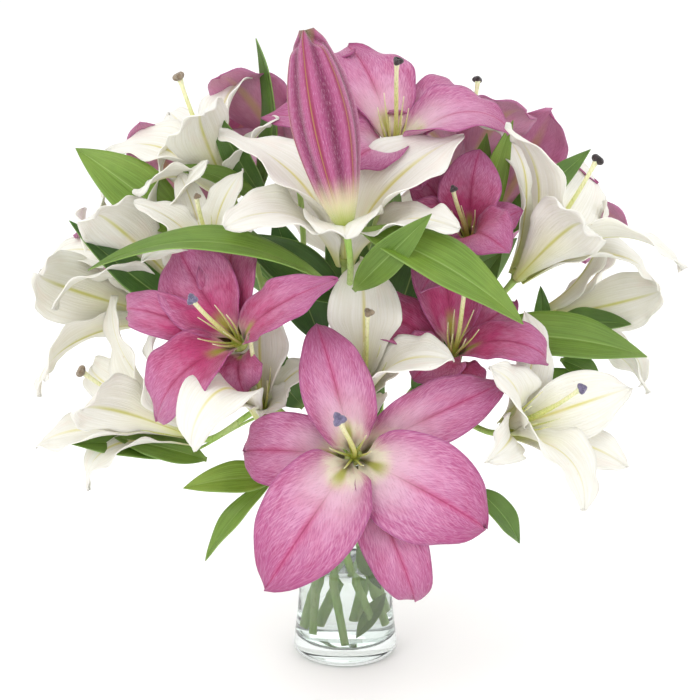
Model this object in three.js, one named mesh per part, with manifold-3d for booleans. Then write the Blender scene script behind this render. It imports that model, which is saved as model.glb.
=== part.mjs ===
// A hand-tied bunch of pink and white lilies standing in a clear glass vase of water.
// Millimetres, +Z up. The origin is the centre of the vase's foot, and -Y is the front of the bunch.
import * as THREE from "three";
import { mergeVertices } from "three/addons/utils/BufferGeometryUtils.js";
import Module from "manifold-3d";

const wasm = await Module();
wasm.setup();

// ---- Driving dimensions ----
const GAP = 0.35; // air between any two pieces that touch
const SHORTEST_EDGE = 0.01; // edges shorter than this are closed up
const DEGREE = Math.PI / 180;

const FOOT_RADIUS = 33.5; // the ring that the vase stands on
const HEEL_RADIUS = 38.6; // widest part of the foot
const HEEL_HEIGHT = 9;
const WAIST_RADIUS = 33.6;
const WAIST_HEIGHT = 72;
const RIM_RADIUS = 43;
const VASE_HEIGHT = 158;
const GLASS_WALL = 2.8;
const GLASS_BASE = 11;
const WATER_LEVEL = 67;
const VASE_SIDES = 30;

const STEM_RADIUS = 3.5;
const PEDICEL_RADIUS = 2.2;
const FOOT_RING = HEEL_RADIUS - GLASS_WALL - 12.8; // radius of the ring that the stems' cut ends stand on
const NECK_RING = 0.46 * WAIST_RADIUS; // the same where they are bound together, at the waist
const MOUTH_RING = 0.56 * RIM_RADIUS; // and at the rim
const STEM_TURN = 75; // degrees that the bundle twists between its foot and the rim

const TEPAL_LENGTH = 124;
const TEPAL_THICKNESS = 1.1;
const THROAT_RADIUS = 3.4;
const WHORL_STEP = 3; // the outer tepals start this much further out
const WHORL_SPREAD = 10; // and open by this many degrees more
// The most that half a tepal's width may be of its distance from the bloom's axis.
const INNER_WRAP = 1.25;
const OUTER_WRAP = 0.85;
const CUPPING = 1.3; // how closely a tepal's foot is wrapped round the axis
const CLAW_SHARE = 0.5; // half width of a tepal's foot, as a share of its distance from the axis
const RECEPTACLE_RADIUS = THROAT_RADIUS + WHORL_STEP + 1.4;
const RECEPTACLE_DEPTH = 8;
const RECEPTACLE_TOP = 2;
const STYLE_LENGTH = 88;
const STYLE_RADIUS = 1.5;
const STYLE_LEAN = 9; // how far the style's end is bent to one side
const STYLE_FOOT = 2.9;
const STIGMA_RADIUS = 4.2;
const FILAMENT_LENGTH = 50;
const FILAMENT_RADIUS = 1;

const BUD_LENGTH = 132;
const BUD_RADIUS = 22;

const LEAF_THICKNESS = 0.9;

// ---- Colours ----
const material = (color, roughness, metalness = 0) =>
  new THREE.MeshStandardMaterial({ color, roughness, metalness });
const PINK = material(0xc65f9e, 0.55);
const WHITE = material(0xf2f0e6, 0.55);
const LEAF_GREEN = material(0x4f8a2b, 0.45);
const STEM_GREEN = material(0x6f9a4a, 0.55);
const PISTIL_GREEN = material(0xc9d36a, 0.5);
const GLASS = new THREE.MeshStandardMaterial({
  color: 0xe9f2ee,
  roughness: 0.03,
  metalness: 0,
  transparent: true,
  opacity: 0.3,
});
const WATER = new THREE.MeshStandardMaterial({
  color: 0xdfeeea,
  roughness: 0.02,
  metalness: 0,
  transparent: true,
  opacity: 0.3,
});

// ---- Forms of bloom ----
// throat, middle and tip are the midrib's angles from the bloom's axis at the tepal's base, middle and end.
const FORMS = {
  pink: { throat: 24, middle: 62, tip: 106, inner: 62, outer: 45, skin: PINK },
  white: { throat: 16, middle: 42, tip: 98, inner: 52, outer: 37, skin: WHITE },
};

// ---- The blooms ----
// at is the receptacle. az is the heading of the bloom's axis from the front towards +X and el its rise, in
// degrees. roll turns the tepals about the axis, and open widens or closes the whole bloom. For single tepals,
// turned moves them sideways and curled rolls their ends back, and reach and broad are their shares of the
// usual length and width.
const BLOOMS = [
  { name: "pink_lily_front", form: "pink", at: [6, -92, 178], az: 2, el: 22, roll: 107,
    size: 1, open: 6, pistil: true,
    turned: [-1, 10, 9, 5, -18, -22], curled: [0, 70, 0, 60, 30, 0],
    reach: [0.8, 0.76, 0.98, 1.05, 0.96, 0.95], broad: [0.8, 1.15, 1.1, 1.05, 1.15, 1.1] },
  { name: "white_lily_middle", form: "white", at: [12, -62, 212], az: 6, el: 56, roll: 90,
    size: 0.8, open: -8, pistil: true,
    reach: [1, 0.45, 0.42, 0.38, 1, 0.5], broad: [1.3, 1, 1, 1, 1.2, 1] },
  { name: "white_lily_low_middle", form: "white", at: [-56, -66, 202], az: -8, el: 54, roll: 90,
    size: 0.74, open: -6, pistil: true,
    reach: [0.85, 0.5, 0.5, 0.36, 0.36, 0.6], broad: [1.25, 1, 1, 1, 1, 1] },
  { name: "pink_lily_left", form: "pink", at: [-70, -76, 252], az: -22, el: 27, roll: 30,
    size: 0.84, open: 0, pistil: true,
    turned: [-6, 6, -22, -38, -30, -40], curled: [0, 60, 10, 60, 60, 50],
    reach: [1.02, 0.8, 0.8, 1, 0.9, 0.4], broad: [0.66, 1.1, 1.1, 0.8, 1, 1] },
  { name: "pink_lily_right", form: "pink", at: [74, -50, 238], az: 5, el: 42, roll: 100,
    size: 0.8, open: 0, pistil: true,
    curled: [0, 0, 40, 0, 70, 0],
    reach: [1, 0.85, 0.48, 0.36, 0.86, 0.6], broad: [1, 1.1, 1, 1, 0.62, 1] },
  { name: "white_lily_low_right", form: "white", at: [110, -62, 188], az: 42, el: 27, roll: 15,
    size: 0.84, open: 0, pistil: true,
    turned: [-14, 6, 0, 0, 0, 4], curled: [0, 0, 30, 0, 0, 0],
    reach: [0.92, 0.85, 0.75, 0.9, 0.95, 0.9], broad: [1.1, 1.1, 1, 1, 1.1, 1.2] },
  { name: "pink_lily_shaded", form: "pink", at: [86, -22, 312], az: -20, el: 40, roll: 80,
    size: 0.62, open: -18, pistil: true,
    reach: [0.85, 0.9, 0.8, 1, 1, 0.6], broad: [1.2, 1.2, 1.2, 1.2, 1.2, 1] },
  { name: "pink_lily_top", form: "pink", at: [34, 4, 370], az: 2, el: 54, roll: 112,
    size: 0.82, open: 2, pistil: true,
    turned: [0, 0, 0, 0, 0, -10], curled: [0, 0, 0, 0, 40, 40],
    reach: [0.92, 1, 0.6, 0.45, 1, 0.85], broad: [1.2, 1.1, 1, 1, 1.1, 1.1] },
  { name: "pink_lily_crown", form: "pink", at: [86, 60, 344], az: 150, el: 66, roll: 20,
    size: 0.84, open: 6, pistil: true },
  { name: "pink_lily_back_left", form: "pink", at: [-40, 62, 358], az: -150, el: 50, roll: 40,
    size: 0.88, open: 0,
    reach: [0.9, 1, 1, 1, 1, 0.8] },
  { name: "pink_lily_back_right", form: "pink", at: [112, 84, 312], az: 140, el: 38, roll: 10,
    size: 0.88, open: 0 },
  { name: "pink_lily_far_left", form: "pink", at: [-104, 76, 308], az: -136, el: 36, roll: 50,
    size: 0.88, open: 0 },
  { name: "white_lily_top", form: "white", at: [0, -44, 304], az: 0, el: 70, roll: 30,
    size: 1.08, open: 2,
    turned: [-8, 0, 8, 4, 0, -4],
    reach: [0.92, 0.8, 0.95, 0.86, 0.62, 0.82], broad: [1.25, 1, 1.2, 1.4, 1, 1.3] },
  { name: "white_lily_right", form: "white", at: [122, -16, 288], az: 84, el: 52, roll: 0,
    size: 1.04, open: 0, pistil: true,
    turned: [0, 0, 0, 0, 10, -16], curled: [0, 0, 0, 0, 0, 60],
    reach: [1, 1, 0.95, 1, 0.95, 1], broad: [1, 1, 1, 1.35, 1.1, 1] },
  { name: "white_lily_far_right", form: "white", at: [144, 28, 246], az: 96, el: 10, roll: 40,
    size: 0.86, open: -4 },
  { name: "white_lily_high_left", form: "white", at: [-82, 14, 340], az: -76, el: 62, roll: 0,
    size: 0.98, open: 0, pistil: true,
    reach: [0.9, 0.62, 0.82, 1, 0.84, 0.7], broad: [1, 1, 1.2, 1.2, 1.1, 1] },
  { name: "white_lily_left", form: "white", at: [-114, 2, 272], az: -88, el: 50, roll: 0,
    size: 1, open: -4, pistil: true,
    reach: [1, 0.95, 1, 1, 0.95, 0.85], broad: [1, 1.1, 1.2, 1.3, 1.1, 1] },
  { name: "white_lily_far_left", form: "white", at: [-136, 16, 252], az: -92, el: 14, roll: 20,
    size: 0.96, open: -2, pistil: true,
    reach: [1, 0.9, 1, 1, 0.95, 1], broad: [1.1, 1, 1, 1.1, 1.1, 1] },
  { name: "white_lily_low_left", form: "white", at: [-108, -34, 176], az: -78, el: 28, roll: 0,
    size: 0.98, open: -10, pistil: true,
    turned: [0, 0, 0, 0, 0, -34], curled: [0, 0, 0, 0, 0, 30],
    reach: [1, 1, 1, 1, 1, 0.8], broad: [1, 1.1, 1.1, 1.1, 1.1, 1.4] },
  { name: "white_lily_small", form: "white", at: [-92, -34, 302], az: -14, el: 56, roll: 60,
    size: 0.56, open: -8, pistil: true },
  { name: "white_lily_back", form: "white", at: [10, 96, 262], az: 178, el: 34, roll: 30,
    size: 0.92, open: 6 },
];

// ---- Points and directions ----
const heading = (az, el) =>
  new THREE.Vector3(
    Math.sin(az * DEGREE) * Math.cos(el * DEGREE),
    -Math.cos(az * DEGREE) * Math.cos(el * DEGREE),
    Math.sin(el * DEGREE),
  );

const UP = new THREE.Vector3(0, 0, 1);

// The matrix that stands a bloom's own frame, +Z along its axis and +X to its right, at its receptacle.
function standing({ at, az, el }) {
  const axis = heading(az, el);
  const right = new THREE.Vector3().crossVectors(UP, axis).normalize();
  const over = new THREE.Vector3().crossVectors(axis, right);
  return new THREE.Matrix4().makeBasis(right, over, axis).setPosition(...at);
}

// A steady sway between -1 and 1 that makes no two tepals or leaves quite alike.
const sway = (a, b) => Math.sin(a * 7.1 + b * 3.7 + 1.3);

// ---- Solids ----
function solidOf(geometry) {
  const bare = geometry.index ? geometry.toNonIndexed() : geometry.clone();
  bare.deleteAttribute("normal");
  bare.deleteAttribute("uv");
  const merged = mergeVertices(bare, 1e-3);
  return new wasm.Manifold(
    new wasm.Mesh({
      numProp: 3,
      vertProperties: merged.attributes.position.array,
      triVerts: new Uint32Array(merged.index.array),
    }),
  );
}

// The two ends of an edge too short to matter become one point, which leaves no hair-thin triangles.
function geometryOf(solid) {
  const { numProp, vertProperties, triVerts } = solid.getMesh();
  const point = (i) => new THREE.Vector3().fromArray(vertProperties, i * numProp);
  const sameAs = Array.from({ length: vertProperties.length / numProp }, (_, i) => i);
  const first = (i) => (sameAs[i] === i ? i : first(sameAs[i]));
  for (let t = 0; t < triVerts.length; t++) {
    const next = t % 3 === 2 ? t - 2 : t + 1;
    const a = first(triVerts[t]);
    const b = first(triVerts[next]);
    if (a !== b && point(a).distanceTo(point(b)) < SHORTEST_EDGE) sameAs[b] = a;
  }
  const corners = [];
  for (let t = 0; t < triVerts.length; t += 3) {
    const [a, b, c] = [0, 1, 2].map((i) => first(triVerts[t + i]));
    if (a !== b && b !== c && c !== a) corners.push(...point(a), ...point(b), ...point(c));
  }
  const geometry = new THREE.BufferGeometry();
  geometry.setAttribute("position", new THREE.Float32BufferAttribute(corners, 3));
  geometry.computeVertexNormals();
  return geometry;
}

const joined = (solids) => solids.reduce((sum, s) => sum.add(s));

// Moves each point of a geometry to where place says.
function bent(geometry, place) {
  const position = geometry.getAttribute("position");
  for (let i = 0; i < position.count; i++) {
    const p = place(position.getX(i), position.getY(i), position.getZ(i));
    position.setXYZ(i, p.x, p.y, p.z);
  }
  return geometry;
}

// A flat sheet of unit size. Its back is split into triangles along the same diagonals as its front, so
// that it keeps its thickness however it is bent.
function sheet(columns, rows) {
  const box = new THREE.BoxGeometry(1, 1, 1, columns, rows, 1);
  const { start, count } = box.groups[5];
  for (let i = start; i < start + count; i += 6) {
    const [a, b, d, , c] = [0, 1, 2, 3, 4].map((k) => box.index.getX(i + k));
    [a, b, c, a, c, d].forEach((corner, k) => box.index.setX(i + k, corner));
  }
  return box;
}

// ---- Tepals ----
const TEPAL_ROWS = 4;
const TEPAL_COLUMNS = 2;
const MIDRIB_STEPS = 20;

// The midrib of a tepal as points (r, z) with the angle of its tangent, from its base to its tip.
function midrib(from, length, throat, middle, tip) {
  const angle = (s) =>
    (throat * (1 - s) * (1 - 2 * s) + 4 * middle * s * (1 - s) + tip * s * (2 * s - 1)) * DEGREE;
  const points = [{ r: from, z: 0, angle: angle(0) }];
  const step = 1 / MIDRIB_STEPS;
  for (let i = 1; i <= MIDRIB_STEPS; i++) {
    const last = points[i - 1];
    const half = angle((i - 0.5) * step);
    points.push({
      r: last.r + length * step * Math.sin(half),
      z: last.z + length * step * Math.cos(half),
      angle: angle(i * step),
    });
  }
  return points;
}

// Width of a tepal at the share s of its length, as a share of its full width.
const tepalWidth = (s) => Math.max(Math.pow(Math.sin(Math.PI * Math.pow(s, 0.88)), 0.95), 0.03);

function tepal(bloom, k, grow) {
  const form = FORMS[bloom.form];
  const index = BLOOMS.indexOf(bloom);
  const inner = k % 2 === 0;
  const spread = bloom.open + (inner ? 0 : WHORL_SPREAD);
  const length = (TEPAL_LENGTH + 4 * sway(index, k)) * bloom.size * (bloom.reach?.[k] ?? 1) + grow;
  const width = (inner ? form.inner : form.outer) * bloom.size * (bloom.broad?.[k] ?? 1);
  const wrap = inner ? INNER_WRAP : OUTER_WRAP;
  const rib = midrib(
    THROAT_RADIUS + (inner ? 0 : WHORL_STEP),
    length,
    form.throat + 0.3 * spread,
    form.middle + spread + 2.5 * sway(index + 3, k),
    form.tip + spread + 14 * sway(index, k + 5) + (bloom.curled?.[k] ?? 0),
  );
  const turn = (bloom.roll + 60 * k + (bloom.turned?.[k] ?? 3 * sway(index + 1, k))) * DEGREE;
  const twist = 14 * sway(index + 2, k) * DEGREE;
  const depth = inner ? 0 : -1.5;
  const thickness = TEPAL_THICKNESS + 2 * grow;
  return bent(sheet(TEPAL_COLUMNS, TEPAL_ROWS), (across, along, side) => {
    const s = along + 0.5;
    const at = rib[Math.round(s * MIDRIB_STEPS)];
    const half = s < 0.2 ? CLAW_SHARE * at.r : Math.min((width * tepalWidth(s)) / 2, wrap * at.r);
    const fold = Math.min((CUPPING * (1.02 - s) * half) / at.r, 1.2);
    const arc = half / fold; // the tepal's cross-section is part of a circle of this radius
    const bend = 2 * across * (fold + grow / arc);
    const sideways = (arc + side * thickness) * Math.sin(bend);
    const lift = arc - (arc + side * thickness) * Math.cos(bend);
    const t = sideways * Math.cos(twist * s) - lift * Math.sin(twist * s);
    const n = sideways * Math.sin(twist * s) + lift * Math.cos(twist * s);
    const r = at.r - n * Math.cos(at.angle);
    const z = at.z + n * Math.sin(at.angle) + depth;
    return new THREE.Vector3(
      r * Math.cos(turn) - t * Math.sin(turn),
      r * Math.sin(turn) + t * Math.cos(turn),
      z,
    );
  });
}

function perianth(bloom, grow) {
  const cup = new THREE.CylinderGeometry(
    RECEPTACLE_RADIUS + grow,
    PEDICEL_RADIUS + 0.6 + grow,
    RECEPTACLE_DEPTH + 2 * grow,
    6,
  )
    .rotateX(Math.PI / 2)
    .translate(0, 0, RECEPTACLE_TOP - RECEPTACLE_DEPTH / 2);
  const tepals = [0, 1, 2, 3, 4, 5].map((k) => solidOf(tepal(bloom, k, grow)));
  return joined([solidOf(cup), ...tepals]).transform(standing(bloom).elements);
}

// ---- Pistil and filaments ----
function pistil(bloom, grow) {
  const { size, roll } = bloom;
  const index = BLOOMS.indexOf(bloom);
  const foot = RECEPTACLE_TOP + GAP;
  const long = STYLE_LENGTH * size;
  const knob = STIGMA_RADIUS * size + grow;
  const outline = [
    [0, -grow],
    [STYLE_FOOT + grow, -grow],
    [STYLE_RADIUS + 0.4 + grow, 6],
    [STYLE_RADIUS + grow, long * 0.6],
    [STYLE_RADIUS + grow, long - 2 - grow],
    [knob, long + 0.6 - grow],
    [knob * 0.9, long + 4 + grow],
    [0, long + 4.8 + grow],
  ].map(([r, z]) => new THREE.Vector2(r, z));
  const style = bent(
    new THREE.LatheGeometry(outline, 5).rotateX(Math.PI / 2),
    (x, y, z) => new THREE.Vector3(x, y + STYLE_LEAN * size * (z / long) ** 2, z + foot),
  );
  const filaments = [0, 1, 2, 3, 4, 5].map((k) => {
    const long = FILAMENT_LENGTH * size * (1 + 0.08 * sway(k, 2));
    return new THREE.CylinderGeometry(grow, FILAMENT_RADIUS + grow, long + 2 * grow, 3, 1)
      .rotateX(Math.PI / 2)
      .translate(STYLE_FOOT - 1.2, 0, long / 2)
      .rotateY((14 + 5 * sway(k, index)) * DEGREE)
      .rotateZ((roll + 60 * k + 8) * DEGREE)
      .translate(0, 0, foot + 1);
  });
  return joined([style, ...filaments].map(solidOf)).transform(standing(bloom).elements);
}

// ---- Tubes ----
// A round rod along a curve, its radius grown by grow.
function rod(curve, radius, steps, sides, grow) {
  const section = new THREE.Shape(
    Array.from({ length: sides }, (_, i) => {
      const turn = (i * 2 * Math.PI) / sides;
      return new THREE.Vector2((radius + grow) * Math.cos(turn), (radius + grow) * Math.sin(turn));
    }),
  );
  return new THREE.ExtrudeGeometry(section, { steps, extrudePath: curve, bevelEnabled: false });
}

// ---- Stems ----
// Each main stem climbs from the vase's floor through the waist and the mouth to its fork, and ends in one
// pedicel for each bloom that it carries.
const STEMS = [
  { name: "stem_front", foot: 0, stand: 1, fork: [-50, -30, 196],
    carries: ["pink_lily_left", "white_lily_low_left", "white_lily_far_left"] },
  { name: "stem_left", foot: -62, stand: 5, fork: [-42, 18, 214],
    carries: ["white_lily_left", "white_lily_high_left", "white_lily_small"] },
  { name: "stem_back_left", foot: -106, stand: 3, fork: [-22, 48, 220],
    carries: ["pink_lily_back_left", "pink_lily_far_left"] },
  { name: "stem_middle", foot: -148, stand: 2, fork: [4, 4, 226],
    carries: ["white_lily_top", "pink_lily_top", "pink_bud"] },
  { name: "stem_back", foot: 170, stand: 6, fork: [26, 50, 208],
    carries: ["white_lily_back", "pink_lily_back_right", "pink_lily_crown"] },
  { name: "stem_back_right", foot: 130, stand: 13, fork: [58, 18, 206],
    carries: ["white_lily_right", "white_lily_far_right"] },
  { name: "stem_right", foot: 92, stand: 8, fork: [46, -18, 190],
    carries: ["white_lily_low_right", "pink_lily_right", "pink_lily_shaded"] },
  { name: "stem_front_right", foot: 48, stand: 18, fork: [4, -34, 186],
    carries: ["pink_lily_front", "white_lily_middle", "white_lily_low_middle"] },
];

// The point on a ring of the bundle, at the heading az from the front.
const ringPoint = (radius, az, z) =>
  new THREE.Vector3(radius * Math.sin(az * DEGREE), -radius * Math.cos(az * DEGREE), z);

// Where a pedicel ends, just short of the bloom or bud that it carries, and the heading it arrives along.
function seatOf(name, grow) {
  const bloom = BLOOMS.find((b) => b.name === name);
  const axis = bloom ? heading(bloom.az, bloom.el) : budAxis();
  const depth = bloom ? RECEPTACLE_DEPTH - RECEPTACLE_TOP : 0;
  const end = new THREE.Vector3(...(bloom ?? BUD).at).addScaledVector(axis, grow - depth - GAP);
  return { axis, end };
}

function stem({ foot, stand, fork, carries }, grow) {
  const curve = new THREE.CatmullRomCurve3([
    ringPoint(FOOT_RING, foot, GLASS_BASE + GAP + stand - grow),
    ringPoint(NECK_RING, foot - 0.6 * STEM_TURN, WAIST_HEIGHT + 8),
    ringPoint(MOUTH_RING, foot - STEM_TURN, VASE_HEIGHT),
    new THREE.Vector3(...fork),
  ]);
  const start = curve.getPoint(0.97);
  const along = curve.getTangent(1);
  const pedicels = carries.map((name) => {
    const { axis, end } = seatOf(name, grow);
    const reach = end.distanceTo(start);
    const bow = new THREE.CubicBezierCurve3(
      start,
      start.clone().addScaledVector(along, reach * 0.4),
      end.clone().addScaledVector(axis, -reach * 0.3),
      end,
    );
    return rod(bow, PEDICEL_RADIUS, 4, 5, grow);
  });
  return joined([rod(curve, STEM_RADIUS, 7, 6, grow), ...pedicels].map(solidOf));
}

// ---- Bud ----
const BUD = { at: [1, -95, 330], lean: [-0.2, 0, 1] };
const budAxis = () => new THREE.Vector3(...BUD.lean).normalize();

function bud(grow) {
  const outline = [
    [0, 0],
    [0.14, 0],
    [0.36, 0.07],
    [0.7, 0.24],
    [1, 0.5],
    [0.9, 0.72],
    [0.5, 0.92],
    [0.14, 1],
    [0, 1],
  ].map(
    ([r, z]) => new THREE.Vector2(r * BUD_RADIUS + (r > 0 ? grow : 0), z * BUD_LENGTH + (2 * z - 1) * grow),
  );
  const axis = budAxis();
  const right = new THREE.Vector3(1, 0, 0).projectOnPlane(axis).normalize();
  const over = new THREE.Vector3().crossVectors(axis, right);
  const frame = new THREE.Matrix4().makeBasis(right, over, axis).setPosition(...BUD.at);
  return solidOf(new THREE.LatheGeometry(outline, 9).rotateX(Math.PI / 2)).transform(frame.elements);
}

// ---- Leaves ----
// A blade bent from its foot to its tip: rise bows its midrib towards the side it shows, facing (az, el).
const LEAVES = [
  { name: "leaf_high_left", from: [-112, 2, 314], to: [-189, 5, 374],
    rise: 8, facing: [-20, 40], width: 40 },
  { name: "leaf_crown_left", from: [-66, 26, 330], to: [-63, 30, 449],
    rise: -14, facing: [-60, 10], width: 26 },
  { name: "leaf_arching", from: [-12, -82, 295], to: [-167, -90, 304],
    rise: 28, facing: [0, 62], width: 26 },
  { name: "leaf_left", from: [-98, -24, 252], to: [-189, -30, 328], rise: -6, facing: [20, 40], width: 26 },
  { name: "leaf_stalk", from: [6, -86, 290], to: [55, -112, 344], rise: 6, facing: [10, 20], width: 22 },
  { name: "leaf_middle", from: [10, -88, 330], to: [115, -108, 272],
    rise: 12, facing: [10, 48], width: 38 },
  { name: "leaf_right", from: [92, -30, 246], to: [213, -22, 230], rise: 12, facing: [0, 45], width: 38 },
  { name: "leaf_low_left", from: [-112, -24, 160], to: [-195, -40, 172],
    rise: 6, facing: [0, 50], width: 28 },
  { name: "leaf_neck", from: [-48, -46, 148], to: [-112, -62, 146], rise: 8, facing: [0, 40], width: 24 },
  { name: "leaf_drooping", from: [-52, -42, 144], to: [-99, -50, 88],
    rise: 8, facing: [-40, 20], width: 16 },
  { name: "leaf_low_right", from: [92, -44, 140], to: [124, -44, 99],
    rise: 6, facing: [30, 30], width: 20 },
  { name: "leaf_upper_right", from: [90, -22, 298], to: [117, 0, 394],
    rise: -6, facing: [30, 20], width: 22 },
  { name: "leaf_behind_right", from: [108, 20, 306], to: [178, 40, 370],
    rise: 8, facing: [0, 30], width: 22 },
];

const LEAF_ROWS = 4;
const LEAF_COLUMNS = 2;
// Width of a leaf at the share s of its length, as a share of its full width.
const leafWidth = (s) =>
  Math.max(Math.pow(Math.sin(Math.PI * Math.pow(s, 0.85)), 0.9), 0.16 * (1 - s), 0.03);

function leaf({ from, to, rise, facing, width }, grow) {
  const start = new THREE.Vector3(...from);
  const chord = new THREE.Vector3(...to).sub(start);
  const long = chord.length();
  chord.normalize();
  const face = heading(...facing).projectOnPlane(chord).normalize();
  const across = new THREE.Vector3().crossVectors(chord, face);
  return solidOf(
    bent(sheet(LEAF_COLUMNS, LEAF_ROWS), (x, y, side) => {
      const s = y + 0.5;
      const reach = long * s + 2 * grow * y;
      const half = (width * leafWidth(s)) / 2 + grow;
      const lift =
        4 * rise * s * (1 - s) + 0.25 * half * Math.abs(2 * x) + side * (LEAF_THICKNESS + 2 * grow);
      return start
        .clone()
        .addScaledVector(chord, reach)
        .addScaledVector(across, 2 * x * half)
        .addScaledVector(face, lift);
    }),
  );
}

// ---- Vase and water ----
function turnedPiece(outline, sides = VASE_SIDES) {
  return solidOf(
    new THREE.LatheGeometry(outline.map(([r, z]) => new THREE.Vector2(r, z)), sides).rotateX(Math.PI / 2),
  );
}

// Radius of the vase's outside at a height above the heel.
function sideRadius(z) {
  const rise = (z - HEEL_HEIGHT) / (WAIST_HEIGHT - HEEL_HEIGHT);
  const flare = Math.max(0, (z - WAIST_HEIGHT) / (VASE_HEIGHT - WAIST_HEIGHT));
  const fall = z < WAIST_HEIGHT ? (1 - rise) ** 1.8 : 0;
  return WAIST_RADIUS + (HEEL_RADIUS - WAIST_RADIUS) * fall + (RIM_RADIUS - WAIST_RADIUS) * flare ** 1.6;
}

const SIDE_HEIGHTS = [HEEL_HEIGHT, 28, WAIST_HEIGHT, 106, 134];

function vase(grow) {
  const wall = GLASS_WALL + grow;
  const outer = SIDE_HEIGHTS.map((z) => [sideRadius(z) + grow, z]);
  const inner = SIDE_HEIGHTS.slice(1).reverse().map((z) => [sideRadius(z) - wall, z]);
  return turnedPiece([
    [0, -grow],
    [FOOT_RADIUS + grow, -grow],
    [HEEL_RADIUS - 1.4 + grow, 2.4],
    ...outer,
    [RIM_RADIUS + grow, VASE_HEIGHT - 0.8],
    [RIM_RADIUS - 0.8, VASE_HEIGHT + grow],
    [RIM_RADIUS - GLASS_WALL + 0.8, VASE_HEIGHT + grow],
    [RIM_RADIUS - wall, VASE_HEIGHT - 0.8],
    ...inner,
    [HEEL_RADIUS - wall - 3, GLASS_BASE + 3],
    [HEEL_RADIUS - wall - 8, GLASS_BASE + grow],
    [0, GLASS_BASE + grow],
  ]);
}

function water() {
  const wall = GLASS_WALL + GAP;
  const wet = SIDE_HEIGHTS.filter((z) => z > HEEL_HEIGHT && z < WATER_LEVEL);
  const sides = wet.map((z) => [sideRadius(z) - wall, z]);
  return turnedPiece([
    [0, GLASS_BASE + GAP],
    [HEEL_RADIUS - wall - 8, GLASS_BASE + GAP],
    [HEEL_RADIUS - wall - 3.2, GLASS_BASE + 3 + GAP],
    ...sides,
    [sideRadius(WAIST_HEIGHT) - wall, WATER_LEVEL],
    [0, WATER_LEVEL],
  ]);
}

const group = new THREE.Group();
const placed = [];

// Adds a piece in the shape that its neighbours leave it: what was placed first keeps its whole shape.
function add(name, build, skin) {
  let solid = build(0);
  const box = solid.boundingBox();
  for (const other of placed) {
    const apart = [0, 1, 2].some((i) => box.min[i] > other.box.max[i] || box.max[i] < other.box.min[i]);
    if (!apart) solid = solid.subtract(other.guard);
  }
  const parts = solid.decompose().sort((a, b) => b.volume() - a.volume());
  const guard = build(GAP);
  placed.push({ guard, box: guard.boundingBox() });
  const mesh = new THREE.Mesh(geometryOf(parts[0]), skin);
  mesh.name = name;
  group.add(mesh);
}

add("vase", vase, GLASS);
for (const row of STEMS) add(row.name, (grow) => stem(row, grow), STEM_GREEN);
for (const bloom of BLOOMS.filter((b) => b.pistil))
  add(`${bloom.name}_pistil`, (grow) => pistil(bloom, grow), PISTIL_GREEN);
add("pink_bud", bud, PINK);
for (const bloom of BLOOMS)
  add(`${bloom.name}_tepals`, (grow) => perianth(bloom, grow), FORMS[bloom.form].skin);
for (const row of LEAVES) add(row.name, (grow) => leaf(row, grow), LEAF_GREEN);
add("water", water, WATER);

export default group;
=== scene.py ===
"""A hand-tied bunch of pink and white lilies in a clear glass vase of water, on a pale studio floor.

Lengths and places in the constants and tables are in millimetres, and angles in degrees. A piece is shaped
in millimetres too and scaled to metres when it is finished. The settings, the camera and the lights are in
metres. +Z is up, -Y is the front and the origin is the centre of the vase's foot.
"""

import math
from dataclasses import dataclass

import bmesh
import bpy
from mathutils import Matrix, Vector


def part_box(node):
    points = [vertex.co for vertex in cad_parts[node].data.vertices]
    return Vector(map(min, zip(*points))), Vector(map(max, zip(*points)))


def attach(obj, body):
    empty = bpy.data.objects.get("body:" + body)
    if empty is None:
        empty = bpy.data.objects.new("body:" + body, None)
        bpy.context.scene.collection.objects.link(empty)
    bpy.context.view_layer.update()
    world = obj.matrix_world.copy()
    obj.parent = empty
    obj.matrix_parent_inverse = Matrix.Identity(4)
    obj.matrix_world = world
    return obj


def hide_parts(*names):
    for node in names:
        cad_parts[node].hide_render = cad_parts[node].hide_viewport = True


bl_info = {
    "name": "Lilies in a Vase",
    "version": (1, 0, 0),
    "blender": (4, 5, 0),
    "location": "3D View > Sidebar > Lilies",
    "description": "Builds a bunch of pink and white lilies standing in a glass vase",
    "category": "Add Mesh",
}

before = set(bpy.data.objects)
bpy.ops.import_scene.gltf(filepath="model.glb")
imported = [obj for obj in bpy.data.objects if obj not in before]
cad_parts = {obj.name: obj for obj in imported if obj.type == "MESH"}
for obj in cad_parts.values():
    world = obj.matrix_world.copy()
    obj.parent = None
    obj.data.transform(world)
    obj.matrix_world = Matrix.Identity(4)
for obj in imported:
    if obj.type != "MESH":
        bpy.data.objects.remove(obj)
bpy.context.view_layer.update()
VASE_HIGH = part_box("vase")[1]

MM = 0.001
UP = Vector((0, 0, 1))
PETAL_MAP = "Petal"

# ---- The studio ----
CAMERA_AT = (0.0035, -1.0523, 0.4729)
CAMERA_DIP = 13
CAMERA_LENS = 77.14
LIGHTS_AIM = Vector((0, 0, 0.24))

# ---- The vase ----
FOOT_RADIUS = 33.5
HEEL_RADIUS = 38.6
HEEL_HEIGHT = 9
WAIST_RADIUS = 33.6
WAIST_HEIGHT = 72
RIM_RADIUS = VASE_HIGH.x / MM
VASE_HEIGHT = VASE_HIGH.z / MM
GLASS_WALL = 2.8
GLASS_BASE = 11
HEEL_ROUND = 6
WELL_ROUND = 8
WELL_TOP = GLASS_BASE + WELL_ROUND + 1
WATER_GAP = 0.06
VASE_SIDES = 128

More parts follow.
